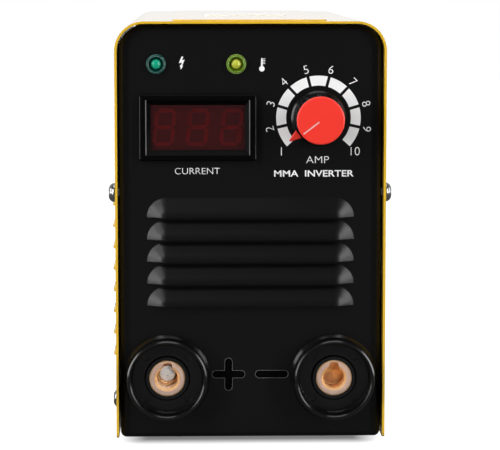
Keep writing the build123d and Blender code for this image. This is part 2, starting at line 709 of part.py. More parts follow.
for lamp, lamp_x in (("power", POWER_LAMP_X), ("thermal", THERMAL_LAMP_X)):
    lamp_axis = Plane(origin=(lamp_x, FRONT_FACE, LAMP_Z), x_dir=(1, 0, 0), z_dir=(0, -1, 0))
    with BuildPart() as lamp_holder:
        with BuildSketch(Plane.XZ):
            with BuildLine():
                Polyline(
                    (LED_RADIUS, -LAMP_BARREL_LENGTH),
                    (LAMP_BARREL_RADIUS, -LAMP_BARREL_LENGTH),
                    (LAMP_BARREL_RADIUS, 0),
                    (LAMP_RADIUS, 0),
                    (LAMP_RADIUS, LAMP_FLANGE_RISE - 0.25),
                    (LAMP_RADIUS - 0.25, LAMP_FLANGE_RISE),
                    (LAMP_STEP_RADIUS + 0.15, LAMP_FLANGE_RISE),
                    (LAMP_STEP_RADIUS, LAMP_STEP_RISE - 0.2),
                    (LAMP_STEP_RADIUS - 0.2, LAMP_STEP_RISE),
                    (LAMP_STEP_RADIUS - 0.4, LAMP_STEP_RISE),
                    (LED_RADIUS + 0.2, 0.9),
                    (LED_RADIUS, 0.9),
                    close=True,
                )
            make_face()
        revolve(axis=Axis.Z)
    lamp_holder.part = lamp_axis * lamp_holder.part
    save(lamp_holder, f"{lamp}_lamp_holder")

    with BuildPart() as lamp_led:
        with BuildSketch(Plane.XZ):
            with BuildLine():
                Line((LED_RADIUS, -LED_BODY_LENGTH), (LED_RADIUS, 0))
                Polyline((0, LED_RADIUS), (0, -LED_BODY_LENGTH), (LED_RADIUS, -LED_BODY_LENGTH))
                CenterArc((0, 0), LED_RADIUS, 0, 90)
            make_face()
        revolve(axis=Axis.Z)
        # leads back to the control board
        with BuildSketch(Plane.XY.offset(-LED_BODY_LENGTH)):
            with Locations((LED_LEAD_PITCH / 2, 0), (-LED_LEAD_PITCH / 2, 0)):
                Rectangle(LED_LEAD_WIDTH, LED_LEAD_WIDTH)
        extrude(amount=-(CONTROL_BOARD_DEPTH - LED_BODY_LENGTH))
    lamp_led.part = lamp_axis * lamp_led.part
    save(lamp_led, f"{lamp}_lamp_led")

# ---------------------------------------------------------------- current knob

# Everything here is built along +Z with the panel's face at Z = 0 and the pointer along +Y.
rest = math.radians(-KNOB_REST_ANGLE)
knob_axis = Plane(
    origin=(KNOB_X, FRONT_FACE, KNOB_Z),
    x_dir=(math.cos(rest), 0, math.sin(rest)),
    z_dir=(0, -1, 0),
)
SKIRT_TOP = KNOB_LIFT + SKIRT_THICK
GRIP_TOP = SKIRT_TOP + GRIP_LENGTH
with BuildPart() as knob_body:
    with BuildSketch(Plane.XZ):
        with BuildLine():
            Polyline(
                (0, KNOB_LIFT),
                (SKIRT_RADIUS, KNOB_LIFT),
                (SKIRT_RADIUS, SKIRT_TOP - 0.8),
                (SKIRT_RADIUS - 0.8, SKIRT_TOP),
                (GRIP_RADIUS + 0.4, SKIRT_TOP),
                (GRIP_RADIUS, SKIRT_TOP + 0.6),
                (GRIP_RADIUS - 0.15, GRIP_TOP),
                (0, GRIP_TOP),
                close=True,
            )
        make_face()
    revolve(axis=Axis.Z)
    with BuildSketch(Plane.XY.offset(SKIRT_TOP + 1.2)):
        with PolarLocations(GRIP_RADIUS + 0.25, FLUTE_COUNT):
            Circle(FLUTE_RADIUS)
    extrude(amount=GRIP_LENGTH, mode=Mode.SUBTRACT)
    # room for the nut, and the bore for the shaft
    with BuildSketch(Plane.XY.offset(KNOB_LIFT)):
        Circle(8.2)
    extrude(amount=5.4, mode=Mode.SUBTRACT)
    with BuildSketch(Plane.XY.offset(KNOB_LIFT)):
        Circle(SHAFT_RADIUS)
    extrude(amount=SHAFT_REACH - KNOB_LIFT, mode=Mode.SUBTRACT)
knob_body.part = knob_axis * knob_body.part
save(knob_body, "knob_body")

with BuildPart() as knob_cap:
    with BuildSketch(Plane.XY.offset(GRIP_TOP)):
        Circle(CAP_RADIUS)
    extrude(amount=CAP_THICK)
    fillet(edges().group_by(Axis.Z)[-1], radius=0.7)
    with BuildSketch(Plane.XY.offset(GRIP_TOP + CAP_THICK)):
        with Locations((0, CAP_RADIUS / 2 + 0.4)):
            Rectangle(CAP_LINE_WIDTH, CAP_RADIUS - 0.8)
    extrude(amount=-CAP_LINE_DEPTH, mode=Mode.SUBTRACT)
knob_cap.part = knob_axis * knob_cap.part
save(knob_cap, "knob_cap")

with BuildPart() as knob_pointer:
    with BuildSketch(Plane.XY.offset(SKIRT_TOP)):
        with BuildLine():
            Polyline(
                (-POINTER_WIDTH / 2, POINTER_ROOT),
                (POINTER_WIDTH / 2, POINTER_ROOT),
                (POINTER_TIP_WIDTH / 2, POINTER_TIP),
                (-POINTER_TIP_WIDTH / 2, POINTER_TIP),
                close=True,
            )
        make_face()
    extrude(amount=POINTER_THICK)
    chamfer(faces().sort_by(Axis.Z)[-1].edges(), length=0.3)
knob_pointer.part = knob_axis * knob_pointer.part
save(knob_pointer, "knob_pointer")

pot_axis = Plane(origin=(KNOB_X, FRONT_FACE, KNOB_Z), x_dir=(1, 0, 0), z_dir=(0, -1, 0))
with BuildPart() as potentiometer_body:
    with BuildSketch(Plane.XY.offset(-PANEL_SHEET)):
        Circle(POT_RADIUS)
    extrude(amount=-POT_DEPTH)
    with BuildSketch(Plane.XY.offset(-PANEL_SHEET)):
        Circle(BUSHING_RADIUS)
    extrude(amount=PANEL_SHEET + BUSHING_REACH)
    with BuildSketch(Plane.XY.offset(BUSHING_REACH)):
        Circle(SHAFT_RADIUS + RUNNING_GAP)
    extrude(amount=-BUSHING_REACH - PANEL_SHEET - 1.5, mode=Mode.SUBTRACT)
    # solder lugs, cut off at the case's inside
    with BuildSketch(Plane.XY.offset(-PANEL_SHEET - 3.0)):
        with Locations(*[(step * 5.0, -POT_RADIUS - 3.0) for step in (-1, 0, 1)]):
            Rectangle(2.2, 9.0)
    extrude(amount=-0.8)
    with BuildSketch(Plane.XY.offset(-PANEL_SHEET - 1.5)):
        Circle(POT_RADIUS - 1.2)
    extrude(amount=-(POT_DEPTH - 2.7), mode=Mode.SUBTRACT)
potentiometer_body.part = pot_axis * potentiometer_body.part
save(potentiometer_body, "potentiometer_body")

with BuildPart() as potentiometer_shaft:
    with BuildSketch(Plane.XY.offset(-PANEL_SHEET - 5.0)):
        Circle(SHAFT_RADIUS)
    extrude(amount=SHAFT_REACH + PANEL_SHEET + 5.0)
    with BuildSketch(Plane.XY.offset(-PANEL_SHEET - 2.6)):
        Circle(7.5)
    extrude(amount=-1.2)
potentiometer_shaft.part = pot_axis * potentiometer_shaft.part
save(potentiometer_shaft, "potentiometer_shaft")

with BuildPart() as potentiometer_nut:
    with BuildSketch(Plane.XY):
        Circle(6.6)
        Circle(BUSHING_RADIUS, mode=Mode.SUBTRACT)
    extrude(amount=0.6)
    with BuildSketch(Plane.XY.offset(0.6)):
        RegularPolygon(6.0, 6, major_radius=False)
        Circle(BUSHING_RADIUS, mode=Mode.SUBTRACT)
    extrude(amount=2.4)
potentiometer_nut.part = pot_axis * potentiometer_nut.part
save(potentiometer_nut, "potentiometer_nut")

# ---------------------------------------------------------------- weld output sockets

SOCKETS = [("positive", -SOCKET_X, BOLT_LONG), ("negative", SOCKET_X, BOLT_SHORT)]
for polarity, socket_x, bolt_reach in SOCKETS:
    socket_axis = Plane(origin=(socket_x, FRONT_FACE, SOCKET_Z), x_dir=(1, 0, 0), z_dir=(0, -1, 0))
    with BuildPart() as socket_housing:
        with BuildSketch(Plane.XZ):
            with BuildLine():
                Polyline(
                    (CONTACT_RADIUS, -SHELL_NECK_LENGTH),
                    (SHELL_NECK_RADIUS - 0.8, -SHELL_NECK_LENGTH),
                    (SHELL_NECK_RADIUS, -SHELL_NECK_LENGTH + 0.8),
                    (SHELL_NECK_RADIUS, 0),
                    (SHELL_FLANGE_RADIUS, 0),
                    (SHELL_FLANGE_RADIUS, 1.0),
                    (SHELL_RADIUS + 0.3, 2.2),
                    (SHELL_RADIUS, SHELL_RISE - 0.6),
                    (SHELL_RADIUS - 0.6, SHELL_RISE),
                    (SHELL_RADIUS - SHELL_RIM + 0.5, SHELL_RISE),
                    (SHELL_RADIUS - SHELL_RIM, SHELL_RISE - 0.5),
                    (SHELL_RADIUS - SHELL_RIM - 0.2, SHELL_FLOOR + 0.5),
                    (SHELL_RADIUS - SHELL_RIM - 0.7, SHELL_FLOOR),
                    (COLLAR_RADIUS + 0.2, SHELL_FLOOR),
                    (COLLAR_RADIUS, SHELL_FLOOR + 0.2),
                    (COLLAR_RADIUS - 0.1, COLLAR_RISE - 0.3),
                    (COLLAR_RADIUS - 0.4, COLLAR_RISE),
                    (CONTACT_RADIUS, COLLAR_RISE),
                    close=True,
                )
            make_face()
        revolve(axis=Axis.Z)
        # four round seats in the floor
        with BuildSketch(Plane.XY.offset(SHELL_FLOOR)):
            with PolarLocations(12.2, 4, start_angle=45):
                Circle(1.4)
        extrude(amount=-0.6, mode=Mode.SUBTRACT)
    socket_housing.part = socket_axis * socket_housing.part
    save(socket_housing, f"{polarity}_socket_housing")

    with BuildPart() as socket_contact:
        with BuildSketch(Plane.XY.offset(CONTACT_RISE)):
            Circle(CONTACT_RADIUS)
        extrude(amount=-CONTACT_LENGTH)
        chamfer(edges().group_by(Axis.Z)[-1], length=0.5)
        with BuildSketch(Plane.XZ):
            with BuildLine():
                Polyline(
                    (0, CONTACT_RISE),
                    (BORE_RADIUS + BORE_CHAMFER, CONTACT_RISE),
                    (BORE_RADIUS, CONTACT_RISE - BORE_CHAMFER),
                    (BORE_RADIUS, CONTACT_RISE - BORE_DEPTH),
                    (0, CONTACT_RISE - BORE_DEPTH - BORE_CONE),
                    close=True,
                )
            make_face()
        revolve(axis=Axis.Z, mode=Mode.SUBTRACT)
        # key way in, and the ring it locks behind
        with BuildSketch(Plane.XY.offset(CONTACT_RISE)):
            with Locations((0, KEY_REACH / 2)):
                RectangleRounded(KEY_WIDTH, KEY_REACH, KEY_CORNER)
        extrude(amount=-(LOCK_DEPTH + LOCK_WIDTH), mode=Mode.SUBTRACT)
        with BuildSketch(Plane.XY.offset(CONTACT_RISE - LOCK_DEPTH)):
            Circle(KEY_REACH)
        extrude(amount=-LOCK_WIDTH, mode=Mode.SUBTRACT)
        # tapped hole for the bolt behind
        with BuildSketch(Plane.XY.offset(CONTACT_RISE - CONTACT_LENGTH)):
            Circle(BOLT_RADIUS)
        extrude(amount=bolt_reach, mode=Mode.SUBTRACT)
    socket_contact.part = socket_axis * socket_contact.part
    save(socket_contact, f"{polarity}_socket_contact")

with BuildPart() as socket_nuts:
    with BuildSketch(facing_front(FRONT_BACK)):
        for side in (1, -1):
            with Locations((side * SOCKET_X, SOCKET_Z)):
                RegularPolygon(NUT_ACROSS / 2, 6, major_radius=False, rotation=30)
                Circle(SHELL_NECK_RADIUS, mode=Mode.SUBTRACT)
    extrude(amount=-NUT_THICK)
save(socket_nuts, "socket_nuts")

CONTACT_END = FRONT_FACE - CONTACT_RISE + CONTACT_LENGTH
with BuildPart() as output_busbars:
    for side in (1, -1):
        with BuildSketch(facing_side(side * SOCKET_X)):
            with BuildLine():
                Polyline(
                    (CONTACT_END, SOCKET_Z + 8.0),
                    (CONTACT_END, BOARD_TOP + 1.0),
                    (CONTACT_END + 1.0, BOARD_TOP),
                    (BUSBAR_END, BOARD_TOP),
                    (BUSBAR_END, BOARD_TOP + BUSBAR_THICK),
                    (CONTACT_END + BUSBAR_THICK + 1.0, BOARD_TOP + BUSBAR_THICK),
                    (CONTACT_END + BUSBAR_THICK, BOARD_TOP + BUSBAR_THICK + 1.0),
                    (CONTACT_END + BUSBAR_THICK, SOCKET_Z + 8.0),
                    close=True,
                )
            make_face()
        extrude(amount=BUSBAR_WIDTH / 2, both=True)
    with BuildSketch(facing_front(CONTACT_END)):
        with Locations((SOCKET_X, SOCKET_Z), (-SOCKET_X, SOCKET_Z)):
            Circle(BOLT_RADIUS)
    extrude(amount=-BUSBAR_THICK, mode=Mode.SUBTRACT)
    with BuildSketch(Plane.XY.offset(BOARD_TOP)):
        with Locations((SOCKET_X, BUSBAR_SCREW_Y), (-SOCKET_X, BUSBAR_SCREW_Y)):
            Circle(BUSBAR_SCREW_RADIUS)
    extrude(amount=BUSBAR_THICK, mode=Mode.SUBTRACT)
save(output_busbars, "output_busbars")

with BuildPart() as terminal_bolts:
    for _, socket_x, bolt_reach in SOCKETS:
        with BuildSketch(facing_front(CONTACT_END - bolt_reach)):
            with Locations((socket_x, SOCKET_Z)):
                Circle(BOLT_RADIUS)
        extrude(amount=-(bolt_reach + BUSBAR_THICK))
        chamfer(faces(Select.LAST).sort_by(Axis.Y)[0].edges(), length=BOLT_CHAMFER)
        with BuildSketch(facing_front(CONTACT_END + BUSBAR_THICK)):
            with Locations((socket_x, SOCKET_Z)):
                Circle(BOLT_WASHER_RADIUS)
        extrude(amount=-BOLT_WASHER_THICK)
        with BuildSketch(facing_front(CONTACT_END + BUSBAR_THICK + BOLT_WASHER_THICK)):
            with Locations((socket_x, SOCKET_Z)):
                RegularPolygon(BOLT_HEAD_ACROSS / 2, 6, major_radius=False)
        extrude(amount=-BOLT_HEAD_THICK)
    # the busbars' other ends, bolted through the board
    with BuildSketch(Plane.XY.offset(BOARD_TOP + BUSBAR_THICK)):
        with Locations((SOCKET_X, BUSBAR_SCREW_Y), (-SOCKET_X, BUSBAR_SCREW_Y)):
            RegularPolygon(4.0, 6, major_radius=False)
    extrude(amount=3.2)
    with BuildSketch(Plane.XY.offset(BOARD_TOP + BUSBAR_THICK)):
        with Locations((SOCKET_X, BUSBAR_SCREW_Y), (-SOCKET_X, BUSBAR_SCREW_Y)):
            Circle(BUSBAR_SCREW_RADIUS)
    extrude(amount=-BUSBAR_THICK - BOARD_THICK - 3.6)
    with BuildSketch(Plane.XY.offset(BOARD_TOP - BOARD_THICK)):
        with Locations((SOCKET_X, BUSBAR_SCREW_Y), (-SOCKET_X, BUSBAR_SCREW_Y)):
            RegularPolygon(4.0, 6, major_radius=False)
    extrude(amount=-3.2)
save(terminal_bolts, "terminal_bolts")

# ---------------------------------------------------------------- control board

BOARD_FACE = FRONT_FACE + CONTROL_BOARD_DEPTH
BOARD_BACK = BOARD_FACE + BOARD_THICK
PILLARS = [(x, z) for x in (-PILLAR_X, PILLAR_X) for z in (PILLAR_LOW_Z, PILLAR_HIGH_Z)]
with BuildPart() as panel_pillars:
    with BuildSketch(facing_front(BOARD_FACE)):
        with Locations(*PILLARS):
            RegularPolygon(2.75, 6, major_radius=False)
            Circle(1.5, mode=Mode.SUBTRACT)
    extrude(amount=CONTROL_BOARD_DEPTH - PANEL_SHEET)
save(panel_pillars, "panel_pillars")

with BuildPart() as control_board:
    with BuildSketch(facing_front(BOARD_FACE)):
        with Locations((0, (CONTROL_BOARD_BOTTOM + CONTROL_BOARD_TOP) / 2)):
            RectangleRounded(CONTROL_BOARD_WIDTH, CONTROL_BOARD_TOP - CONTROL_BOARD_BOTTOM, 3.0)
        with Locations(*PILLARS):
            Circle(1.5, mode=Mode.SUBTRACT)
    extrude(amount=-BOARD_THICK)
    # two integrated circuits, a plug strip, and a row of small capacitors
    with BuildSketch(facing_front(BOARD_BACK)):
        with Locations((-18.0, 142.0), (14.0, 150.0)):
            Rectangle(20.0, 7.6)
    extrude(amount=-3.4)
    with BuildSketch(facing_front(BOARD_BACK)):
        with Locations((0, 116.0)):
            Rectangle(34.0, 6.0)
    extrude(amount=-9.0)
    with BuildSketch(facing_front(BOARD_BACK)):
        with Locations(*[(step * 9.0, 130.0) for step in range(-3, 5)]):
            Circle(3.15)
    extrude(amount=-11.0)
save(control_board, "control_board")

# ---------------------------------------------------------------- power board

BOARD_UNDERSIDE = BOARD_TOP - BOARD_THICK
with BuildPart() as board_standoffs:
    with BuildSketch(Plane.XY.offset(TRAY_TOP)):
        with Locations(*STANDOFF_PLACES):
            RegularPolygon(2.75, 6, major_radius=False)
            Circle(1.5, mode=Mode.SUBTRACT)
    extrude(amount=STANDOFF_HEIGHT)
save(board_standoffs, "board_standoffs")

with BuildPart() as power_board:
    with BuildSketch(Plane.XY.offset(BOARD_UNDERSIDE)):
        with Locations((0, (BOARD_FRONT + BOARD_REAR) / 2)):
            Rectangle(2 * BOARD_HALF_WIDTH, BOARD_REAR - BOARD_FRONT)
        with Locations(*STANDOFF_PLACES):
            Circle(1.5, mode=Mode.SUBTRACT)
        with Locations((SOCKET_X, BUSBAR_SCREW_Y), (-SOCKET_X, BUSBAR_SCREW_Y)):
            Circle(BUSBAR_SCREW_RADIUS, mode=Mode.SUBTRACT)
    extrude(amount=BOARD_THICK)
save(power_board, "power_board")

# Two finned heat sinks, one on each side of the air way, with four devices on each
DEVICE_YS = [SINK_FRONT + 9.5 + step * 18.3 for step in range(4)]
DEVICE_BOTTOM = BOARD_TOP + 9.0
DEVICE_THICK = 5.0
PIN_X = SINK_INNER - 2.4
PIN_PITCH = 5.45
SINKS = [(-1, "inverter_heatsink", "power_transistors"), (1, "output_heatsink", "output_diodes")]
for side, sink_name, device_name in SINKS:
    with BuildPart() as heatsink:
        with BuildSketch(Plane.XY.offset(BOARD_TOP)):
            with Locations((side * (SINK_INNER + SINK_BASE / 2), (SINK_FRONT + SINK_REAR) / 2)):
                Rectangle(SINK_BASE, SINK_REAR - SINK_FRONT)
        extrude(amount=SINK_HEIGHT)
        for fin in range(FIN_COUNT):
            fin_bottom = BOARD_TOP + fin * (SINK_HEIGHT - FIN_THICK) / (FIN_COUNT - 1)
            with BuildSketch(Plane.XY.offset(fin_bottom)):
                with Locations((side * (SINK_INNER + SINK_OUTER) / 2, (SINK_FRONT + SINK_REAR) / 2)):
                    Rectangle(SINK_OUTER - SINK_INNER, SINK_REAR - SINK_FRONT)
            extrude(amount=FIN_THICK)
        with BuildSketch(facing_side(side * SINK_INNER)):
            with Locations(*[(y, DEVICE_BOTTOM + 15.0) for y in DEVICE_YS]):
                Circle(1.5)
        extrude(amount=side * (SINK_BASE + 1.0), mode=Mode.SUBTRACT)
    save(heatsink, sink_name)

    with BuildPart() as devices:
        with BuildSketch(facing_side(side * SINK_INNER)):
            with Locations(*[(y, DEVICE_BOTTOM + 10.4) for y in DEVICE_YS]):
                Rectangle(15.8, 20.8)
            with Locations(*[(y, DEVICE_BOTTOM + 15.0) for y in DEVICE_YS]):
                Circle(1.5, mode=Mode.SUBTRACT)
        extrude(amount=-side * DEVICE_THICK)
        with BuildSketch(Plane.XY.offset(DEVICE_BOTTOM)):
            pins = [(side * PIN_X, y + pin * PIN_PITCH) for y in DEVICE_YS for pin in (-1, 0, 1)]
            with Locations(*pins):
                Rectangle(0.6, 1.2)
        extrude(amount=BOARD_TOP - DEVICE_BOTTOM)
    save(devices, device_name)

# M3 screws: over and under every standoff, behind the control board, and through the devices
with BuildPart() as board_screws:
    seats = [(Plane(origin=(x, y, BOARD_TOP), z_dir=(0, 0, 1)), 4.8) for x, y in STANDOFF_PLACES]
    seats += [(Plane(origin=(x, y, TRAY_UNDERSIDE), z_dir=(0, 0, -1)), 4.8) for x, y in STANDOFF_PLACES]
    seats += [(Plane(origin=(x, BOARD_BACK, z), z_dir=(0, 1, 0)), 4.8) for x, z in PILLARS]
    for side in (1, -1):
        for y in DEVICE_YS:
            origin = (side * (SINK_INNER - DEVICE_THICK), y, DEVICE_BOTTOM + 15.0)
            seats.append((Plane(origin=origin, z_dir=(-side, 0, 0)), DEVICE_THICK + 4.0))
    for seat, shank in seats:
        with BuildSketch(seat):
            Circle(2.75)
        extrude(amount=1.8)
        with BuildSketch(seat):
            Circle(1.5)
        extrude(amount=-shank)
save(board_screws, "board_screws")

# Ferrite transformer standing on its bobbin
CORE_Z = BOARD_TOP + 2.0 + CORE_SIZE / 2
core_plane = Plane(origin=(0, CORE_Y, CORE_Z), x_dir=(1, 0, 0), z_dir=(0, -1, 0))
with BuildPart() as transformer_core:
    with BuildSketch(core_plane):
        Rectangle(CORE_SIZE, CORE_SIZE)
        window_x = (CORE_LEG + CORE_WINDOW_WIDTH) / 2
        with Locations((window_x, 0), (-window_x, 0)):
            Rectangle(CORE_WINDOW_WIDTH, CORE_WINDOW_HEIGHT, mode=Mode.SUBTRACT)
    extrude(amount=CORE_DEPTH / 2, both=True)
save(transformer_core, "transformer_core")

BOBBIN_FLANGE = 1.2
BOBBIN_WALL = 1.0
BOBBIN_BOTTOM = CORE_Z - CORE_WINDOW_HEIGHT / 2
WINDING_HEIGHT = CORE_WINDOW_HEIGHT - 2 * BOBBIN_FLANGE
WINDING_WIDTH = CORE_LEG + 2 * CORE_WINDOW_WIDTH - 1.4
with BuildPart() as transformer_bobbin:
    for bottom in (BOBBIN_BOTTOM, BOBBIN_BOTTOM + CORE_WINDOW_HEIGHT - BOBBIN_FLANGE):
        with BuildSketch(Plane.XY.offset(bottom)):
            with Locations((0, CORE_Y)):
                Rectangle(CORE_LEG + 2 * CORE_WINDOW_WIDTH - 0.4, CORE_DEPTH + 2 * CORE_WINDOW_WIDTH)
        extrude(amount=BOBBIN_FLANGE)
    with BuildSketch(Plane.XY.offset(BOBBIN_BOTTOM)):
        with Locations((0, CORE_Y)):
            Rectangle(CORE_LEG + 2 * BOBBIN_WALL, CORE_DEPTH + 2 * BOBBIN_WALL)
    extrude(amount=CORE_WINDOW_HEIGHT)
    with BuildSketch(Plane.XY.offset(BOBBIN_BOTTOM)):
        with Locations((0, CORE_Y)):
            Rectangle(CORE_LEG, CORE_DEPTH)
    extrude(amount=CORE_WINDOW_HEIGHT, mode=Mode.SUBTRACT)
    # pin blocks in front of the core and behind it
    with BuildSketch(Plane.XY.offset(BOARD_TOP)):
        with Locations((0, CORE_Y - CORE_DEPTH / 2 - 5.0), (0, CORE_Y + CORE_DEPTH / 2 + 5.0)):
            Rectangle(34.0, 6.0)
    extrude(amount=BOBBIN_BOTTOM - BOARD_TOP)
save(transformer_bobbin, "transformer_bobbin")

with BuildPart() as transformer_winding:
    with BuildSketch(Plane.XY.offset(BOBBIN_BOTTOM + BOBBIN_FLANGE)):
        with Locations((0, CORE_Y)):
            RectangleRounded(WINDING_WIDTH, CORE_DEPTH + WINDING_WIDTH - CORE_LEG, 6.0)
            Rectangle(CORE_LEG + 2 * BOBBIN_WALL, CORE_DEPTH + 2 * BOBBIN_WALL, mode=Mode.SUBTRACT)
    extrude(amount=WINDING_HEIGHT)
save(transformer_winding, "transformer_winding")

with BuildPart() as bus_capacitors:
    with BuildSketch(Plane.XZ.offset(-CAN_Y)):
        with BuildLine():
            Polyline(
                (0, BOARD_TOP),
                (CAN_RADIUS - 0.4, BOARD_TOP),
                (CAN_RADIUS, BOARD_TOP + 0.6),
                (CAN_RADIUS, BOARD_TOP + 3.0),
                (CAN_RADIUS - 0.9, BOARD_TOP + 4.2),
                (CAN_RADIUS, BOARD_TOP + 5.4),
                (CAN_RADIUS, BOARD_TOP + CAN_HEIGHT - 0.8),
                (CAN_RADIUS - 0.8, BOARD_TOP + CAN_HEIGHT),
                (CAN_RADIUS - 1.6, BOARD_TOP + CAN_HEIGHT - 0.4),
                (0, BOARD_TOP + CAN_HEIGHT - 0.4),
                close=True,
            )
        make_face()
    can = revolve(axis=Axis((0, CAN_Y, 0), (0, 0, 1)), mode=Mode.PRIVATE)
    with Locations(*[(step * CAN_PITCH, 0, 0) for step in (-1, 0, 1)]):
        add(can)
save(bus_capacitors, "bus_capacitors")

with BuildPart() as bridge_rectifier:
    with BuildSketch(facing_front(BRIDGE_Y)):
        with Locations((0, BOARD_TOP + 4.0 + 9.0)):
            Rectangle(22.0, 18.0)
            with Locations((11.0, 9.0)):
                Rectangle(6.0, 6.0, rotation=45, mode=Mode.SUBTRACT)
    extrude(amount=-3.8)
    with BuildSketch(Plane.XY.offset(BOARD_TOP)):
        with Locations(*[(step * 5.08 - 7.62, BRIDGE_Y + 1.9) for step in range(4)]):
            Rectangle(1.2, 0.8)
    extrude(amount=4.0)
save(bridge_rectifier, "bridge_rectifier")

with BuildPart() as inrush_relay:
    with BuildSketch(Plane.XY.offset(BOARD_TOP)):
        with Locations((0, RELAY_Y)):
            Rectangle(16.0, 20.0)
    extrude(amount=15.6)
    fillet(edges().group_by(Axis.Z)[-1], radius=0.8)
save(inrush_relay, "inrush_relay")

# ---------------------------------------------------------------- fan

# Everything of the fan is built along +Z from its inner face, then turned to look to the rear.
fan_axis = Plane(origin=(0, FAN_FRONT, FAN_Z), x_dir=(-1, 0, 0), z_dir=(0, 1, 0))
with BuildPart() as fan_frame:
    for bottom in (0, FAN_DEPTH - FAN_FLANGE):
        with BuildSketch(Plane.XY.offset(bottom)):
            RectangleRounded(FAN_SIZE, FAN_SIZE, 4.0)
        extrude(amount=FAN_FLANGE)
    with BuildSketch():
        Circle(FAN_SIZE / 2 - 0.3)
    extrude(amount=FAN_DEPTH)
    with BuildSketch():
        Circle(FAN_DUCT_RADIUS)
        with GridLocations(FAN_HOLE_SPACING, FAN_HOLE_SPACING, 2, 2):
            Circle(SCREW_RADIUS + 0.2)
    extrude(amount=FAN_DEPTH, mode=Mode.SUBTRACT)
    # motor seat on four spokes, and the bearing tube
    with BuildSketch():
        Circle(HUB_RADIUS)
        with PolarLocations(0, 4, start_angle=20):
            with Locations(((FAN_DUCT_RADIUS + 1.0) / 2, 0)):
                Rectangle(FAN_DUCT_RADIUS + 1.0, 3.6)
    extrude(amount=3.0)
    with BuildSketch():
        Circle(BEARING_RADIUS)
    extrude(amount=15.0)
    with BuildSketch(Plane.XY.offset(1.2)):
        Circle(FAN_SHAFT_RADIUS + RUNNING_GAP)
    extrude(amount=FAN_DEPTH, mode=Mode.SUBTRACT)
fan_frame.part = fan_axis * fan_frame.part
save(fan_frame, "fan_frame")

with BuildPart() as fan_stator:
    with BuildSketch(Plane.XY.offset(5.0)):
        Circle(13.2)
        with PolarLocations(13.4, 4, start_angle=45):
            RectangleRounded(9.0, 2.0, 0.9, mode=Mode.SUBTRACT)
        Circle(BEARING_RADIUS, mode=Mode.SUBTRACT)
    extrude(amount=9.0)
fan_stator.part = fan_axis * fan_stator.part
save(fan_stator, "fan_stator")

with BuildPart() as fan_rotor:
    for blade in range(BLADE_COUNT):
        turn = Rot(0, 0, blade * 360 / BLADE_COUNT)
        root = Plane(origin=(HUB_RADIUS - 1.0, 0, BLADE_MIDDLE), x_dir=(0, 1, 0), z_dir=(1, 0, 0))
        tip = root.offset(BLADE_TIP_RADIUS - HUB_RADIUS + 5.0)
        with BuildSketch(Plane(turn * root.location)):
            Rectangle(BLADE_ROOT_CHORD, BLADE_THICK, rotation=BLADE_ROOT_PITCH)
        with BuildSketch(Plane(turn * tip.location)):
            Rectangle(BLADE_TIP_CHORD, BLADE_THICK, rotation=BLADE_TIP_PITCH)
        loft()
    with BuildSketch():
        Circle(BLADE_TIP_RADIUS)
    extrude(amount=FAN_DEPTH, mode=Mode.INTERSECT)
    with BuildSketch(Plane.XY.offset(HUB_BOTTOM)):
        Circle(HUB_RADIUS)
    extrude(amount=HUB_TOP - HUB_BOTTOM)
    fillet(edges().filter_by(GeomType.CIRCLE).group_by(Axis.Z)[-1], radius=1.0)
    with BuildSketch(Plane.XY.offset(HUB_BOTTOM)):
        Circle(HUB_RADIUS - 1.5)
    extrude(amount=HUB_TOP - HUB_BOTTOM - 1.6, mode=Mode.SUBTRACT)
    with BuildSketch(Plane.XY.offset(HUB_TOP - 1.6)):
        Circle(FAN_SHAFT_RADIUS)
    extrude(amount=-(HUB_TOP - 1.6 - 1.6))
fan_rotor.part = fan_axis * fan_rotor.part
save(fan_rotor, "fan_rotor")

EYELET_REACH = FAN_HOLE_SPACING / math.sqrt(2)
with BuildPart() as fan_guard:
    with Locations((0, 0, GUARD_LEG_LIFT + 1.5)):
        for ring_radius in (9.0, 16.3, 23.6, 30.9, 38.2):
            Torus(ring_radius, GUARD_WIRE)
    with BuildSketch(Plane.YZ.offset(8.2)):
        with Locations((0, GUARD_LEG_LIFT)):
            Circle(GUARD_WIRE)
    leg = extrude(amount=EYELET_REACH - 3.1 - 8.2, mode=Mode.PRIVATE)
    with PolarLocations(0, 4, start_angle=45):
        add(leg)
    with PolarLocations(EYELET_REACH, 4, start_angle=45):
        with Locations((0, 0, GUARD_LEG_LIFT)):
            Torus(3.2, GUARD_WIRE)
guard_axis = Plane(origin=(0, REAR_FACE, FAN_Z), x_dir=(-1, 0, 0), z_dir=(0, 1, 0))
fan_guard.part = guard_axis * fan_guard.part
save(fan_guard, "fan_guard")

FAN_SCREW_SEAT = GUARD_LEG_LIFT + GUARD_WIRE
with BuildPart() as fan_bolts:
    with GridLocations(FAN_HOLE_SPACING, FAN_HOLE_SPACING, 2, 2):
        with Locations((0, 0, FAN_SCREW_SEAT)):
            Cylinder(SCREW_HEAD_RADIUS, 2.4, align=STANDING)
    fillet(edges().group_by(Axis.Z)[-1], radius=1.2)
    with BuildSketch(Plane.XY.offset(FAN_SCREW_SEAT + 2.4)):
        with GridLocations(FAN_HOLE_SPACING, FAN_HOLE_SPACING, 2, 2):
            Rectangle(4.2, 0.9)
            Rectangle(0.9, 4.2)
    extrude(amount=-1.3, mode=Mode.SUBTRACT)
    with BuildSketch(Plane.XY.offset(FAN_SCREW_SEAT)):
        with GridLocations(FAN_HOLE_SPACING, FAN_HOLE_SPACING, 2, 2):
            Circle(SCREW_RADIUS)
    extrude(amount=-(FAN_SCREW_SEAT + PANEL_SHEET + FAN_DEPTH + 4.0))
    # nuts on the inner flange
    with BuildSketch(Plane.XY.offset(FAN_FRONT - REAR_FACE)):
        with GridLocations(FAN_HOLE_SPACING, FAN_HOLE_SPACING, 2, 2):
            RegularPolygon(3.5, 6, major_radius=False)
    extrude(amount=-3.2)
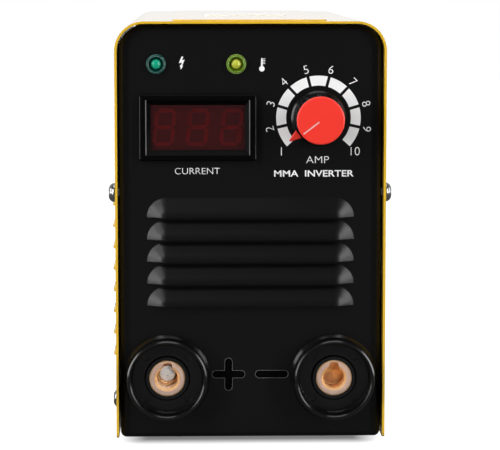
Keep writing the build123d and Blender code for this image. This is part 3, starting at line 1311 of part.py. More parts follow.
fan_bolts.part = guard_axis * fan_bolts.part
save(fan_bolts, "fan_bolts")

# ---------------------------------------------------------------- power switch

switch_plane = Plane(origin=(SWITCH_X, REAR_FACE, SWITCH_Z), x_dir=(-1, 0, 0), z_dir=(0, 1, 0))
CAVITY_HALF = ROCKER_RADIUS + 0.4
with BuildPart() as switch_housing:
    with BuildSketch(switch_plane):
        RectangleRounded(SWITCH_BEZEL_WIDTH, SWITCH_BEZEL_HEIGHT, 1.5)
    extrude(amount=SWITCH_BEZEL_RISE)
    fillet(faces().sort_by(Axis.Y)[-1].edges(), radius=0.8)
    with BuildSketch(switch_plane):
        Rectangle(SWITCH_BODY_WIDTH, SWITCH_BODY_HEIGHT)
    extrude(amount=-SWITCH_BODY_DEPTH)
    with BuildSketch(switch_plane.offset(SWITCH_BEZEL_RISE)):
        Rectangle(ROCKER_WIDTH + 0.4, 2 * CAVITY_HALF)
    extrude(amount=-SWITCH_CAVITY_DEPTH, mode=Mode.SUBTRACT)
    with BuildSketch(facing_side(SWITCH_X)):
        with Locations((ROCKER_PIVOT_Y, SWITCH_Z)):
            Circle(ROCKER_PIN_RADIUS + RUNNING_GAP)
    extrude(amount=ROCKER_WIDTH / 2 + 1.4, both=True, mode=Mode.SUBTRACT)
save(switch_housing, "switch_housing")

# The rocker is drawn level, then tilted on its pins to the stop it rests on.
with BuildPart() as switch_rocker:
    rise = ROCKER_RADIUS * math.tan(math.radians(ROCKER_TILT))
    with BuildSketch(facing_side(0)):
        with BuildLine():
            Polyline(
                (-4.0, -ROCKER_RADIUS),
                (ROCKER_FACET + rise, -ROCKER_RADIUS),
                (ROCKER_FACET, 0),
                (ROCKER_FACET + rise, ROCKER_RADIUS),
                (-4.0, ROCKER_RADIUS),
                close=True,
            )
        make_face()
        Circle(ROCKER_RADIUS, mode=Mode.INTERSECT)
    extrude(amount=ROCKER_WIDTH / 2, both=True)
    with BuildSketch(facing_side(0)):
        Circle(ROCKER_PIN_RADIUS)
    extrude(amount=ROCKER_WIDTH / 2 + 1.2, both=True)
rocker_place = Location((SWITCH_X, ROCKER_PIVOT_Y, SWITCH_Z), (-ROCKER_TILT, 0, 0))
switch_rocker.part = rocker_place * switch_rocker.part
save(switch_rocker, "switch_rocker")

with BuildPart() as switch_terminals:
    with BuildSketch(switch_plane.offset(-SWITCH_BODY_DEPTH)):
        with GridLocations(TERMINAL_PITCH_X, TERMINAL_PITCH_Z, 2, 2):
            Rectangle(0.8, 6.3)
    extrude(amount=-8.0)
save(switch_terminals, "switch_terminals")

LEAD_START = REAR_FACE - SWITCH_BODY_DEPTH - 8.0
LEAD_Z = SWITCH_Z - TERMINAL_PITCH_Z / 2
with BuildPart() as mains_leads:
    for side, turn_y in ((-1, 70.0), (1, 76.0)):
        lead_x = SWITCH_X + side * TERMINAL_PITCH_X / 2
        with BuildLine() as lead_path:
            FilletPolyline(
                (lead_x, LEAD_START, LEAD_Z),
                (lead_x, turn_y, LEAD_Z),
                (side * 8.0, turn_y, LEAD_Z - 24.0),
                (side * 8.0, turn_y, BOARD_TOP),
                radius=6.0,
            )
        with BuildSketch(facing_front(LEAD_START)):
            with Locations((lead_x, LEAD_Z)):
                Circle(LEAD_RADIUS)
        sweep(path=lead_path.wires()[0])
save(mains_leads, "mains_leads")

# ---------------------------------------------------------------- cable gland

gland_axis = Plane(origin=(GLAND_X, REAR_FACE, GLAND_Z), x_dir=(-1, 0, 0), z_dir=(0, 1, 0))
with BuildPart() as gland_body:
    with BuildSketch():
        RegularPolygon(GLAND_COLLAR_ACROSS / 2, 6, major_radius=False)
    extrude(amount=GLAND_COLLAR_THICK)
    with BuildSketch(Plane.XY.offset(-PANEL_SHEET - 9.0)):
        Circle(GLAND_THREAD_RADIUS)
    extrude(amount=PANEL_SHEET + 9.0 + GLAND_COLLAR_THICK + 7.5)
    with BuildSketch(Plane.XY.offset(-PANEL_SHEET - 9.0)):
        Circle(GLAND_BORE_RADIUS)
    extrude(amount=PANEL_SHEET + 9.0 + GLAND_COLLAR_THICK + 7.5, mode=Mode.SUBTRACT)
gland_body.part = gland_axis * gland_body.part
save(gland_body, "gland_body")

mouth = (GLAND_MOUTH_RADIUS, GLAND_REACH)
with BuildPart() as gland_dome_nut:
    with BuildSketch(Plane.XY.offset(GLAND_COLLAR_THICK + 0.5)):
        RegularPolygon(GLAND_COLLAR_ACROSS / 2 - 0.3, 6, major_radius=False)
    extrude(amount=GLAND_REACH - GLAND_COLLAR_THICK - 0.5)
    with BuildSketch(Plane.XZ):
        with BuildLine():
            Line((0, 0), (12.0, 0))
            Line((12.0, 0), (12.0, GLAND_REACH - 6.5))
            ThreePointArc((12.0, GLAND_REACH - 6.5), (9.6, GLAND_REACH - 1.9), mouth)
            Line(mouth, (0, GLAND_REACH))
            Line((0, GLAND_REACH), (0, 0))
        make_face()
    revolve(axis=Axis.Z, mode=Mode.INTERSECT)
    with BuildSketch(Plane.XY.offset(GLAND_COLLAR_THICK + 0.5)):
        Circle(GLAND_THREAD_RADIUS)
    extrude(amount=7.0, mode=Mode.SUBTRACT)
    with BuildSketch(Plane.XY.offset(GLAND_COLLAR_THICK)):
        Circle(GLAND_BORE_RADIUS)
    extrude(amount=GLAND_REACH, mode=Mode.SUBTRACT)
gland_dome_nut.part = gland_axis * gland_dome_nut.part
save(gland_dome_nut, "gland_dome_nut")

with BuildPart() as gland_seal:
    with BuildSketch(Plane.XY.offset(GLAND_REACH - 13.0)):
        Circle(GLAND_BORE_RADIUS)
        Circle(GLAND_SEAL_BORE, mode=Mode.SUBTRACT)
    extrude(amount=12.4)
gland_seal.part = gland_axis * gland_seal.part
save(gland_seal, "gland_seal")

with BuildPart() as gland_locknut:
    with BuildSketch(Plane.XY.offset(-PANEL_SHEET)):
        RegularPolygon(GLAND_COLLAR_ACROSS / 2, 6, major_radius=False)
        Circle(GLAND_THREAD_RADIUS, mode=Mode.SUBTRACT)
    extrude(amount=-4.0)
gland_locknut.part = gland_axis * gland_locknut.part
save(gland_locknut, "gland_locknut")

# ---------------------------------------------------------------- earth stud

earth_axis = Plane(origin=(EARTH_X, REAR_FACE, EARTH_Z), x_dir=(-1, 0, 0), z_dir=(0, 1, 0))
with BuildPart() as earth_stud:
    with BuildSketch(Plane.XY.offset(-PANEL_SHEET)):
        RegularPolygon(5.0, 6, major_radius=False)
    extrude(amount=-4.0)
    with BuildSketch(Plane.XY.offset(-PANEL_SHEET)):
        Circle(EARTH_RADIUS)
    extrude(amount=PANEL_SHEET + EARTH_PILOT_START)
    with BuildSketch(Plane.XY.offset(EARTH_PILOT_START)):
        Circle(EARTH_PILOT_RADIUS)
    extrude(amount=EARTH_REACH - EARTH_PILOT_START)
    chamfer(edges().group_by(Axis.Z)[-1], length=0.6)
earth_stud.part = earth_axis * earth_stud.part
save(earth_stud, "earth_stud")

with BuildPart() as earth_nut:
    with BuildSketch():
        Circle(6.0)
        Circle(EARTH_RADIUS, mode=Mode.SUBTRACT)
    extrude(amount=1.2)
    with BuildSketch(Plane.XY.offset(1.2)):
        RegularPolygon(5.0, 6, major_radius=False)
        Circle(EARTH_RADIUS, mode=Mode.SUBTRACT)
    extrude(amount=4.8)
earth_nut.part = earth_axis * earth_nut.part
save(earth_nut, "earth_nut")
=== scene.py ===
import json
import math

import bmesh
import bpy
from mathutils import Matrix, Vector


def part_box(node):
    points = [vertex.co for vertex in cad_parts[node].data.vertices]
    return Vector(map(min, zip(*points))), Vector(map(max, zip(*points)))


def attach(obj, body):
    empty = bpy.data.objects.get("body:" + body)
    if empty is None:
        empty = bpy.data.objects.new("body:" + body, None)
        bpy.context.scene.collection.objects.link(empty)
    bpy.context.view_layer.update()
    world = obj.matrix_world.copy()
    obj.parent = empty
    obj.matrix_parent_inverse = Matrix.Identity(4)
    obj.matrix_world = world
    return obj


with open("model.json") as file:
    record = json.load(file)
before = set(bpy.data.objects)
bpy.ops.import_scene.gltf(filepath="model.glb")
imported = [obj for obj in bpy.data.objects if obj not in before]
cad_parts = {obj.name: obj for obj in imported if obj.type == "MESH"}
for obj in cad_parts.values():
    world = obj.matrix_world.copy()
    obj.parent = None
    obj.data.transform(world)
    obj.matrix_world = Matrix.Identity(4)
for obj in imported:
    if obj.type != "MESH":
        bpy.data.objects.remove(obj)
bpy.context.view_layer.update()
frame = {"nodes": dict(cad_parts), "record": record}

# The stick welding inverter's looks, in metres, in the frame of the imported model: X to the right,
# Y from the front panel to the rear panel, Z up.

MM = 0.001
nodes = frame["nodes"]
joints = {joint["name"]: joint for joint in frame["record"]["behaviour"]["joints"]}


def middle(node):
    """Centre of a CAD node's box."""
    low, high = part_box(node)
    return (Vector(low) + Vector(high)) / 2


COVER_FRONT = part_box("top_cover")[0][1]
PANEL_RECESS = 4.0 * MM
FRONT_FACE = COVER_FRONT + PANEL_RECESS
PANEL_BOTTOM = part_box("front_panel")[0][2]
KNOB = Vector(joints["knob_turn"]["pos_m"])

# ---------------------------------------------------------------- node helpers


def new_material(name):
    """A fresh material and its node tree, with the principled shader ready."""
    made = bpy.data.materials.new(name)
    made.use_nodes = True
    tree = made.node_tree
    tree.nodes.clear()
    output = tree.nodes.new("ShaderNodeOutputMaterial")
    shader = tree.nodes.new("ShaderNodeBsdfPrincipled")
    tree.links.new(shader.outputs["BSDF"], output.inputs["Surface"])
    return made, tree, shader


def feed(tree, socket, value):
    """Links a socket to another one, or sets its value."""
    if isinstance(value, bpy.types.NodeSocket):
        tree.links.new(value, socket)
    elif isinstance(value, (tuple, list)) and len(value) == 3 and socket.type == "RGBA":
        socket.default_value = (*value, 1.0)
    else:
        socket.default_value = value


def add(tree, kind, inputs=(), **settings):
    """Adds a shader node, sets its properties, and feeds its inputs by name or number."""
    made = tree.nodes.new("ShaderNode" + kind)
    for key, value in settings.items():
        setattr(made, key, value)
    for key, value in dict(inputs).items():
        feed(tree, made.inputs[key], value)
    return made


def place(tree, scale=(1, 1, 1), origin=(0, 0, 0)):
    """Object coordinates, which are metres in the model's frame, moved to origin and scaled."""
    coordinates = add(tree, "TexCoord")
    moved = add(tree, "VectorMath", {0: coordinates.outputs["Object"], 1: origin}, operation="SUBTRACT")
    scaled = add(tree, "VectorMath", {0: moved.outputs[0], 1: scale}, operation="MULTIPLY")
    return scaled.outputs[0]


def from_axis(tree, centre):
    """Distance from the axis that runs along Y through centre."""
    flat = place(tree, (1, 0, 1), centre)
    return add(tree, "VectorMath", {0: flat}, operation="LENGTH").outputs["Value"]


def noise(tree, size, detail=2.0, roughness=0.5, scale=(1, 1, 1)):
    """Noise whose features are about size metres across."""
    made = add(
        tree,
        "TexNoise",
        {"Vector": place(tree, scale), "Scale": 1 / size, "Detail": detail, "Roughness": roughness},
    )
    return made.outputs["Fac"]


def spread(tree, value, low, high):
    """Maps 0..1 to low..high."""
    made = add(tree, "MapRange", {"Value": value, "To Min": low, "To Max": high})
    return made.outputs["Result"]


def shades(tree, value, first, second):
    """A colour between two, by value."""
    made = add(tree, "Mix", data_type="RGBA")
    feed(tree, made.inputs[0], value)
    feed(tree, made.inputs[6], first)
    feed(tree, made.inputs[7], second)
    return made.outputs[2]


def darker(colour, share):
    """The colour with that share of it taken away."""
    return tuple(channel * (1 - share) for channel in colour)


def relief(tree, shader, height, depth, strength=1.0, soft_edge=0.0):
    """Bumps the surface by height, depth metres deep, and rounds its sharp edges by soft_edge."""
    inputs = {"Height": height, "Distance": depth, "Strength": strength}
    if soft_edge:
        inputs["Normal"] = add(tree, "Bevel", {"Radius": soft_edge}, samples=4).outputs["Normal"]
    bump = add(tree, "Bump", inputs)
    tree.links.new(bump.outputs["Normal"], shader.inputs["Normal"])


def principled(shader, tree, **values):
    """Sets the principled shader's inputs; underscores stand for spaces."""
    for key, value in values.items():
        feed(tree, shader.inputs[key.replace("_", " ")], value)


# ---------------------------------------------------------------- materials


def powder_coat(name, colour, rough, peel, specular=0.5, coat=0.0, edge=0.25 * MM):
    """Baked powder paint on sheet: orange peel of that size, faint cloudiness, dust in the texture."""
    made, tree, shader = new_material(name)
    cloud = noise(tree, 30 * MM, 3)
    grain = noise(tree, peel, 3, 0.6)
    fine = noise(tree, peel * 0.3, 2)
    height = add(tree, "Math", {0: grain, 1: fine}, operation="ADD").outputs[0]
    principled(
        shader,
        tree,
        Base_Color=shades(tree, cloud, darker(colour, 0.05), colour),
        Roughness=spread(tree, grain, rough * 0.85, rough * 1.15),
        Specular_IOR_Level=specular,
        Coat_Weight=coat,
        Coat_Roughness=0.08,
    )
    relief(tree, shader, height, 0.02 * MM, 0.5, soft_edge=edge)
    return made


def moulded(name, colour, rough, grain_size=0.25 * MM, specular=0.5, depth=0.008 * MM, edge=0.12 * MM):
    """Injection moulded plastic: fine spark-eroded grain and soft edges."""
    made, tree, shader = new_material(name)
    grain = noise(tree, grain_size, 3, 0.6)
    flow = noise(tree, 12 * MM, 2)
    principled(
        shader,
        tree,
        Base_Color=shades(tree, flow, darker(colour, 0.12), colour),
        Roughness=spread(tree, grain, rough * 0.8, rough * 1.2),
        Specular_IOR_Level=specular,
    )
    relief(tree, shader, grain, depth, 0.7, soft_edge=edge)
    return made


def metal(name, colour, rough, lines=(1, 1, 1), line_size=0.2 * MM, depth=0.004 * MM, tarnish=0.1):
    """Worked metal: fine lines drawn out along one axis, and a little tarnish."""
    made, tree, shader = new_material(name)
    drawn = noise(tree, line_size, 2, 0.5, lines)
    stain = noise(tree, 7 * MM, 4, 0.6)
    principled(
        shader,
        tree,
        Base_Color=shades(tree, stain, darker(colour, tarnish * 2), colour),
        Metallic=1.0,
        Roughness=spread(tree, drawn, rough * 0.7, rough * 1.3),
    )
    relief(tree, shader, drawn, depth, 0.5, soft_edge=0.08 * MM)
    return made


def turned(name, colour, end_colour, rough, centre, end_y, ring=0.22 * MM, depth=0.01 * MM):
    """Metal turned on a lathe about an axis along Y through centre: fine rings, and a dulled end at end_y."""
    made, tree, shader = new_material(name)
    along = add(tree, "SeparateXYZ", {0: place(tree)}).outputs["Y"]
    turns = add(tree, "Math", {0: from_axis(tree, centre), 1: along}, operation="ADD").outputs[0]
    phase = add(tree, "Math", {0: turns, 1: math.tau / ring}, operation="MULTIPLY").outputs[0]
    wave = add(tree, "Math", {0: phase}, operation="SINE").outputs[0]
    wobble = noise(tree, 0.8 * MM, 3)
    rings = add(tree, "Math", {0: wave, 1: wobble}, operation="MULTIPLY").outputs[0]
    stain = noise(tree, 2.5 * MM, 4, 0.65)
    dull_depth = {"Value": along, "From Min": end_y + 0.02 * MM, "From Max": end_y + 0.2 * MM}
    inward = add(tree, "MapRange", dull_depth).outputs["Result"]
    aged = shades(tree, inward, end_colour, colour)
    uneven = spread(tree, wobble, rough * 0.7, rough * 1.5)
    dulled = spread(tree, inward, 2.0, 1.0)
    principled(
        shader,
        tree,
        Base_Color=shades(tree, stain, aged, shades(tree, 0.25, aged, (0, 0, 0))),
        Metallic=spread(tree, inward, 1.0, 0.4),
        Roughness=add(tree, "Math", {0: uneven, 1: dulled}, operation="MULTIPLY").outputs[0],
    )
    relief(tree, shader, rings, depth, 0.8, soft_edge=0.1 * MM)
    return made


CORE_RADIUS = 1.55 * MM  # the lit middle of a lamp's LED
CORE_FADE = 0.5 * MM


def clear_plastic(name, colour, rough, see_through, glow=0.0, core=None, edge=0.0):
    """Tinted plastic that lets light through, faintly swirled; dark away from a core, if one is given."""
    made, tree, shader = new_material(name)
    swirl = noise(tree, 1.5 * MM, 3)
    tint = shades(tree, swirl, darker(colour, 0.15), colour)
    if core:
        fade = {"Value": from_axis(tree, core), "From Min": CORE_RADIUS, "From Max": CORE_RADIUS + CORE_FADE}
        tint = shades(tree, add(tree, "MapRange", fade).outputs["Result"], tint, darker(colour, 0.8))
    principled(
        shader,
        tree,
        Base_Color=tint,
        Roughness=spread(tree, swirl, rough * 0.8, rough * 1.2),
        Transmission_Weight=see_through,
        IOR=1.47,
        Emission_Color=tint,
        Emission_Strength=glow,
    )
    relief(tree, shader, swirl, 0.01 * MM, 0.3, soft_edge=edge)
    return made


def rubbery(name, colour):
    """Moulded rubber, dusty and matte."""
    made, tree, shader = new_material(name)
    dust = noise(tree, 3 * MM, 4, 0.7)
    grain = noise(tree, 0.3 * MM, 2)
    principled(
        shader,
        tree,
        Base_Color=shades(tree, dust, colour, (0.06, 0.058, 0.055)),
        Roughness=spread(tree, grain, 0.65, 0.9),
        Specular_IOR_Level=0.3,
    )
    relief(tree, shader, grain, 0.02 * MM, 0.6)
    return made


def circuit_board(name):
    """Green solder mask with copper tracks showing through as a slightly lighter pattern."""
    made, tree, shader = new_material(name)
    layout = {"Scale": 1.0, "Mortar Size": 0.35 * MM, "Brick Width": 11 * MM, "Row Height": 3.2 * MM}
    tracks = add(tree, "TexBrick", {"Vector": place(tree), **layout})
    principled(
        shader,
        tree,
        Base_Color=shades(tree, tracks.outputs["Fac"], (0.012, 0.09, 0.035), (0.03, 0.2, 0.07)),
        Roughness=0.3,
        Coat_Weight=0.4,
    )
    relief(tree, shader, tracks.outputs["Fac"], 0.03 * MM, 0.8)
    return made


def wound(name, colour, pitch, axis):
    """Layers wound round a body: bands along one axis (0, 1 or 2), each with a rounded crest."""
    made, tree, shader = new_material(name)
    along = add(tree, "SeparateXYZ", {0: place(tree)}).outputs[axis]
    phase = add(tree, "Math", {0: along, 1: math.tau / pitch}, operation="MULTIPLY").outputs[0]
    wave = add(tree, "Math", {0: phase}, operation="SINE").outputs[0]
    band = add(tree, "MapRange", {"Value": wave, "From Min": -1.0}).outputs[0]
    principled(
        shader,
        tree,
        Base_Color=shades(tree, band, darker(colour, 0.35), colour),
        Roughness=0.35,
        Coat_Weight=0.3,
    )
    relief(tree, shader, band, 0.15 * MM)
    return made


def ferrite(name):
    """Sintered ferrite: dark grey, speckled and matte."""
    made, tree, shader = new_material(name)
    specks = add(tree, "TexVoronoi", {"Vector": place(tree), "Scale": 1 / (0.5 * MM)})
    fleck = specks.outputs["Distance"]
    principled(
        shader,
        tree,
        Base_Color=shades(tree, fleck, (0.03, 0.03, 0.034), (0.09, 0.09, 0.095)),
        Roughness=spread(tree, fleck, 0.5, 0.75),
    )
    relief(tree, shader, fleck, 0.02 * MM, 0.6)
    return made


def ink(name, colour):
    """Silk-screen ink, also used for the painted highlight bands: slightly uneven and a little rough."""
    made, tree, shader = new_material(name)
    screen = noise(tree, 0.35 * MM, 3)
    principled(
        shader,
        tree,
        Base_Color=shades(tree, screen, darker(colour, 0.1), colour),
        Roughness=spread(tree, screen, 0.45, 0.65),
        Specular_IOR_Level=0.3,
    )
    relief(tree, shader, screen, 0.01 * MM, 0.5)
    return made


LED_GLOW = 0.03
finishes = {
    "yellow_paint": powder_coat("glossy_yellow_paint", (0.66, 0.40, 0.02), 0.2, 0.9 * MM, coat=1.0),
    "black_paint": powder_coat(
        "satin_black_paint", (0.0022, 0.0022, 0.0024), 0.34, 0.5 * MM, specular=0.24, edge=0.3 * MM
    ),
    "bare_steel": metal("galvanised_steel", (0.55, 0.56, 0.58), 0.38, (1, 0.1, 1), 0.8 * MM, tarnish=0.2),
    "zinc_screw": metal("bright_zinc", (0.24, 0.245, 0.25), 0.24, (1, 1, 1), 0.5 * MM),
    "foot_rubber": rubbery("black_rubber", (0.008, 0.008, 0.008)),
    "label_film": ink("label_film", (0.82, 0.82, 0.8)),
    "black_plastic": moulded("matte_black_plastic", (0.0025, 0.0025, 0.003), 0.2, specular=0.35),
    "black_gloss_plastic": moulded(
        "glossy_black_plastic", (0.002, 0.002, 0.0022), 0.1, specular=0.4, depth=0.003 * MM, edge=0.3 * MM
    ),
    "red_window": clear_plastic("smoked_red_window", (0.42, 0.09, 0.10), 0.1, 0.95),
    "display_grey": moulded("display_face", (0.12, 0.085, 0.095), 0.6),
    "segment_red": moulded("unlit_segment", (0.55, 0.05, 0.055), 0.35),
    "lamp_green": clear_plastic("green_lens", (0.001, 0.06, 0.05), 0.05, 0.25, edge=0.25 * MM),
    "lamp_yellow": clear_plastic("yellow_green_lens", (0.13, 0.26, 0.008), 0.05, 0.25, edge=0.25 * MM),
    "led_green": clear_plastic(
        "green_led", (0.002, 0.36, 0.2), 0.1, 0.2, LED_GLOW, tuple(middle("power_lamp_led"))
    ),
    "led_yellow": clear_plastic(
        "yellow_led", (0.52, 0.55, 0.05), 0.15, 0.2, LED_GLOW, tuple(middle("thermal_lamp_led"))
    ),
    "knob_red": moulded("red_knob_cap", (0.80, 0.035, 0.022), 0.38, 0.3 * MM, 0.35, 0.006 * MM),
    "plain_aluminium": metal("extruded_aluminium", (0.8, 0.81, 0.82), 0.35, (1, 0.02, 1), 0.3 * MM),
    "nut_brass": metal("brass", (0.78, 0.56, 0.24), 0.25),
    "circuit_board": circuit_board("green_circuit_board"),
    "ferrite": ferrite("ferrite_core"),
    "bobbin_plastic": moulded("bobbin_plastic", (0.03, 0.028, 0.025), 0.5),
    "winding_tape": wound("winding_tape", (0.82, 0.5, 0.05), 2.2 * MM, 2),
    "can_sleeve": moulded("capacitor_sleeve", (0.012, 0.022, 0.07), 0.2),
    "relay_case": moulded("relay_case", (0.015, 0.06, 0.25), 0.3),
    "package_epoxy": moulded("package_epoxy", (0.012, 0.012, 0.012), 0.5),
    "lead_sheath": moulded("lead_sheath", (0.12, 0.03, 0.012), 0.3),
    "rocker_red": moulded("red_rocker", (0.62, 0.012, 0.01), 0.2, 0.5 * MM, 0.5, 0.004 * MM),
}
COPPER = (0.99, 0.60, 0.28)
DULLED_COPPER = (0.66, 0.46, 0.37)

# pieces whose finish differs from the rest of their material slot
own_finishes = {
    "meter_housing": moulded(
        "matte_black_bezel", (0.0012, 0.0012, 0.0014), 0.35, specular=0.06, edge=0.2 * MM
    ),
    "terminal_bolts": metal("bright_steel", (0.86, 0.86, 0.85), 0.3, (1, 1, 1), 0.5 * MM),
}
slot_of = {part["node"]: part["material_slot"] for part in frame["record"]["subparts"]}
for node, slot in slot_of.items():
    if slot == "contact_copper":
        end_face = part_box(node)[0][1]
        finish = turned(f"turned_copper_{node}", COPPER, DULLED_COPPER, 0.22, tuple(middle(node)), end_face)
    else:
        finish = own_finishes.get(node) or finishes[slot]
    materials = nodes[node].data.materials
    for index in range(len(materials)):
        materials[index] = finish

white_ink = ink("white_ink", (0.8, 0.8, 0.8))
pale_ink = ink("pale_pink_ink", (0.80, 0.42, 0.40))

# ---------------------------------------------------------------- printed and moulded signs

INK_THICKNESS = 0.03 * MM
FACING_FRONT = Matrix(((1, 0, 0), (0, 0, -1), (0, 1, 0)))
FACING_REAR = Matrix(((-1, 0, 0), (0, 0, 1), (0, 1, 0)))


def on_face(facing, x, y, z, turn=0.0):
    """Matrix from a drawing (x right, y up, z out of the face) to the model."""
    return Matrix.Translation((x, y, z)) @ facing.to_4x4() @ Matrix.Rotation(math.radians(turn), 4, "Z")


def piece_from(mesh_data, name, material, body):
    """An object of that mesh, finished and riding on a body."""
    made = bpy.data.objects.new(name, mesh_data)
    bpy.context.scene.collection.objects.link(made)
    made.data.materials.clear()
    made.data.materials.append(material)
    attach(made, body)
    return made


def finished_form(form, name, matrix, material, body):
    """A piece from a bmesh drawn flat, moved to its place by matrix."""
    bmesh.ops.recalc_face_normals(form, faces=form.faces)
    form.transform(matrix)
    mesh_data = bpy.data.meshes.new(name)
    form.to_mesh(mesh_data)
    form.free()
    return piece_from(mesh_data, name, material, body)


def printed(name, outlines, matrix, material, body="casing", thickness=INK_THICKNESS):
    """Flat shapes with the given outlines, standing thickness out of a face."""
    form = bmesh.new()
    for outline in outlines:
        corners = [form.verts.new((x, y, 0)) for x, y in outline]
        face = form.faces.new(corners)
        raised = bmesh.ops.extrude_face_region(form, geom=[face])
        lifted = [item for item in raised["geom"] if isinstance(item, bmesh.types.BMVert)]
        bmesh.ops.translate(form, verts=lifted, vec=(0, 0, thickness))
    return finished_form(form, name, matrix, material, body)


def rim(name, outer, inner, matrix, material):
    """A closed band between two outlines of as many points, standing in as a painted highlight on the bright
    edge of a step.
    """
    form = bmesh.new()
    rings = []
    for outline in (outer, inner):
        for height in (0, INK_THICKNESS):
            rings.append([form.verts.new((x, y, height)) for x, y in outline])
    outer_low, outer_high, inner_low, inner_high = rings
    section = (outer_low, outer_high, inner_high, inner_low)
    for number, first in enumerate(section):
        second = section[(number + 1) % 4]
        for index in range(len(first)):
            form.faces.new((first[index - 1], first[index], second[index], second[index - 1]))
    return finished_form(form, name, matrix, material, "casing")


def lettered(name, text, height, matrix, material, width=None, weight=0.0, body="casing"):
    """Text of that cap height, centred on the drawing's origin, stretched to width if one is given."""
    curve = bpy.data.curves.new(name + "_curve", "FONT")
    curve.body = text
    curve.size = 1.0
    curve.extrude = 0.001
    curve.offset = weight
    curve.resolution_u = 6
    holder = bpy.data.objects.new(name + "_text", curve)
    bpy.context.scene.collection.objects.link(holder)
    bpy.context.view_layer.update()
    mesh_data = bpy.data.meshes.new_from_object(holder.evaluated_get(bpy.context.evaluated_depsgraph_get()))
    bpy.data.objects.remove(holder)
    xs = [vertex.co.x for vertex in mesh_data.vertices]
    ys = [vertex.co.y for vertex in mesh_data.vertices]
    tall = height / (max(ys) - min(ys))
    wide = width / (max(xs) - min(xs)) if width else tall
    centre = Vector(((max(xs) + min(xs)) / 2, (max(ys) + min(ys)) / 2, -0.001))
    sized = Matrix.Diagonal((wide, tall, INK_THICKNESS / 0.002, 1)) @ Matrix.Translation(-centre)
    mesh_data.transform(matrix @ sized)
    mesh_data.name = name
    return piece_from(mesh_data, name, material, body)


def arc_points(radius, start, end, steps):
    """Points along an arc, in degrees."""
    angles = [math.radians(start + (end - start) * step / steps) for step in range(steps + 1)]
    return [(radius * math.cos(angle), radius * math.sin(angle)) for angle in angles]


def on_panel(x, z, turn=0.0):
    """A place on the front panel's face: x from the middle and z from the panel's lower edge."""
    return on_face(FACING_FRONT, x, FRONT_FACE, PANEL_BOTTOM + z, turn)


# Current scale: nine blocks between ten marks, with the numbers outside
SCALE_START = 222.0
SCALE_SWEEP = 264.0
SCALE_INNER = 13.4 * MM
SCALE_OUTER = 17.5 * MM
SCALE_GAP = 0.62 * MM  # half of the bare strip at each mark
NUMBER_RADIUS = 20.6 * MM
dial = on_face(FACING_FRONT, KNOB.x, FRONT_FACE, KNOB.z)
step_angle = SCALE_SWEEP / 9
blocks = []
for block in range(9):
    start = SCALE_START - block * step_angle
    end = start - step_angle
    outer_trim = math.degrees(SCALE_GAP / SCALE_OUTER)
    inner_trim = math.degrees(SCALE_GAP / SCALE_INNER)
    outer = arc_points(SCALE_OUTER, start - outer_trim * (block > 0), end + outer_trim * (block < 8), 14)
    inner = arc_points(SCALE_INNER, end + inner_trim * (block < 8), start - inner_trim * (block > 0), 14)
    blocks.append(outer + inner)
printed("scale_blocks", blocks, dial, white_ink)
for number in range(1, 11):
    angle = SCALE_START - (number - 1) * step_angle
    upright = number in (1, 10)
    spot = Matrix.Translation((
        NUMBER_RADIUS * math.cos(math.radians(angle)),
        NUMBER_RADIUS * math.sin(math.radians(angle)),
        0,
    ))
    turn = 0 if upright else angle - 90
    lettered(
        f"scale_number_{number}",
        str(number),
        3.4 * MM,
        dial @ spot @ Matrix.Rotation(math.radians(turn), 4, "Z"),
        white_ink,
        weight=-0.014,
    )
for name, text, tall, wide, weight, x, z in (
    ("meter_caption", "CURRENT", 2.6 * MM, 18.6 * MM, -0.016, -22.0 * MM, 112.2 * MM),
    ("scale_caption", "AMP", 2.8 * MM, 9.4 * MM, -0.018, 27.8 * MM, 116.8 * MM),
    ("type_caption", "MMA  INVERTER", 2.7 * MM, 33.0 * MM, 0.014, 26.3 * MM, 111.1 * MM),
):
    lettered(name, text, tall, on_panel(x, z), white_ink, wide, weight)

BOLT_SIZE = 0.92 * MM
BOLT = [
    (-0.1, 2.95), (0.7, 2.95), (0.15, 1.25), (1.35, 1.5), (0.1, -1.25), (0.62, -1.1),
    (-0.4, -2.95), (-0.9, -0.8), (-0.42, -1.0), (0.1, 0.25), (-1.3, -0.05),
]
printed(
    "power_sign",
    [[(x * BOLT_SIZE, y * BOLT_SIZE) for x, y in BOLT]],
    on_panel(-28.3 * MM, 156.8 * MM),
    white_ink,
)
THERMOMETER_SIZE = 0.9 * MM
BULB_RADIUS = 1.25
STEM_HALF = 0.4
bulb = [(x, y - 1.85) for x, y in arc_points(BULB_RADIUS, 110, 430, 24)]
stem_top = [(x, y + 2.7) for x, y in arc_points(STEM_HALF, 0, 180, 8)]
TICK_THICK = 0.3
TICK_PITCH = 0.7
ticks = []
for tick in range(4):
    low = 0.4 + tick * TICK_PITCH
    high = low + TICK_THICK
    ticks.append([(0.35, low), (1.5, low), (1.5, high), (0.35, high)])
thermometer = [bulb + stem_top] + ticks
printed(
    "thermal_sign",
    [[(x * THERMOMETER_SIZE, y * THERMOMETER_SIZE) for x, y in outline] for outline in thermometer],
    on_panel(4.7 * MM, 156.1 * MM),
    white_ink,
)

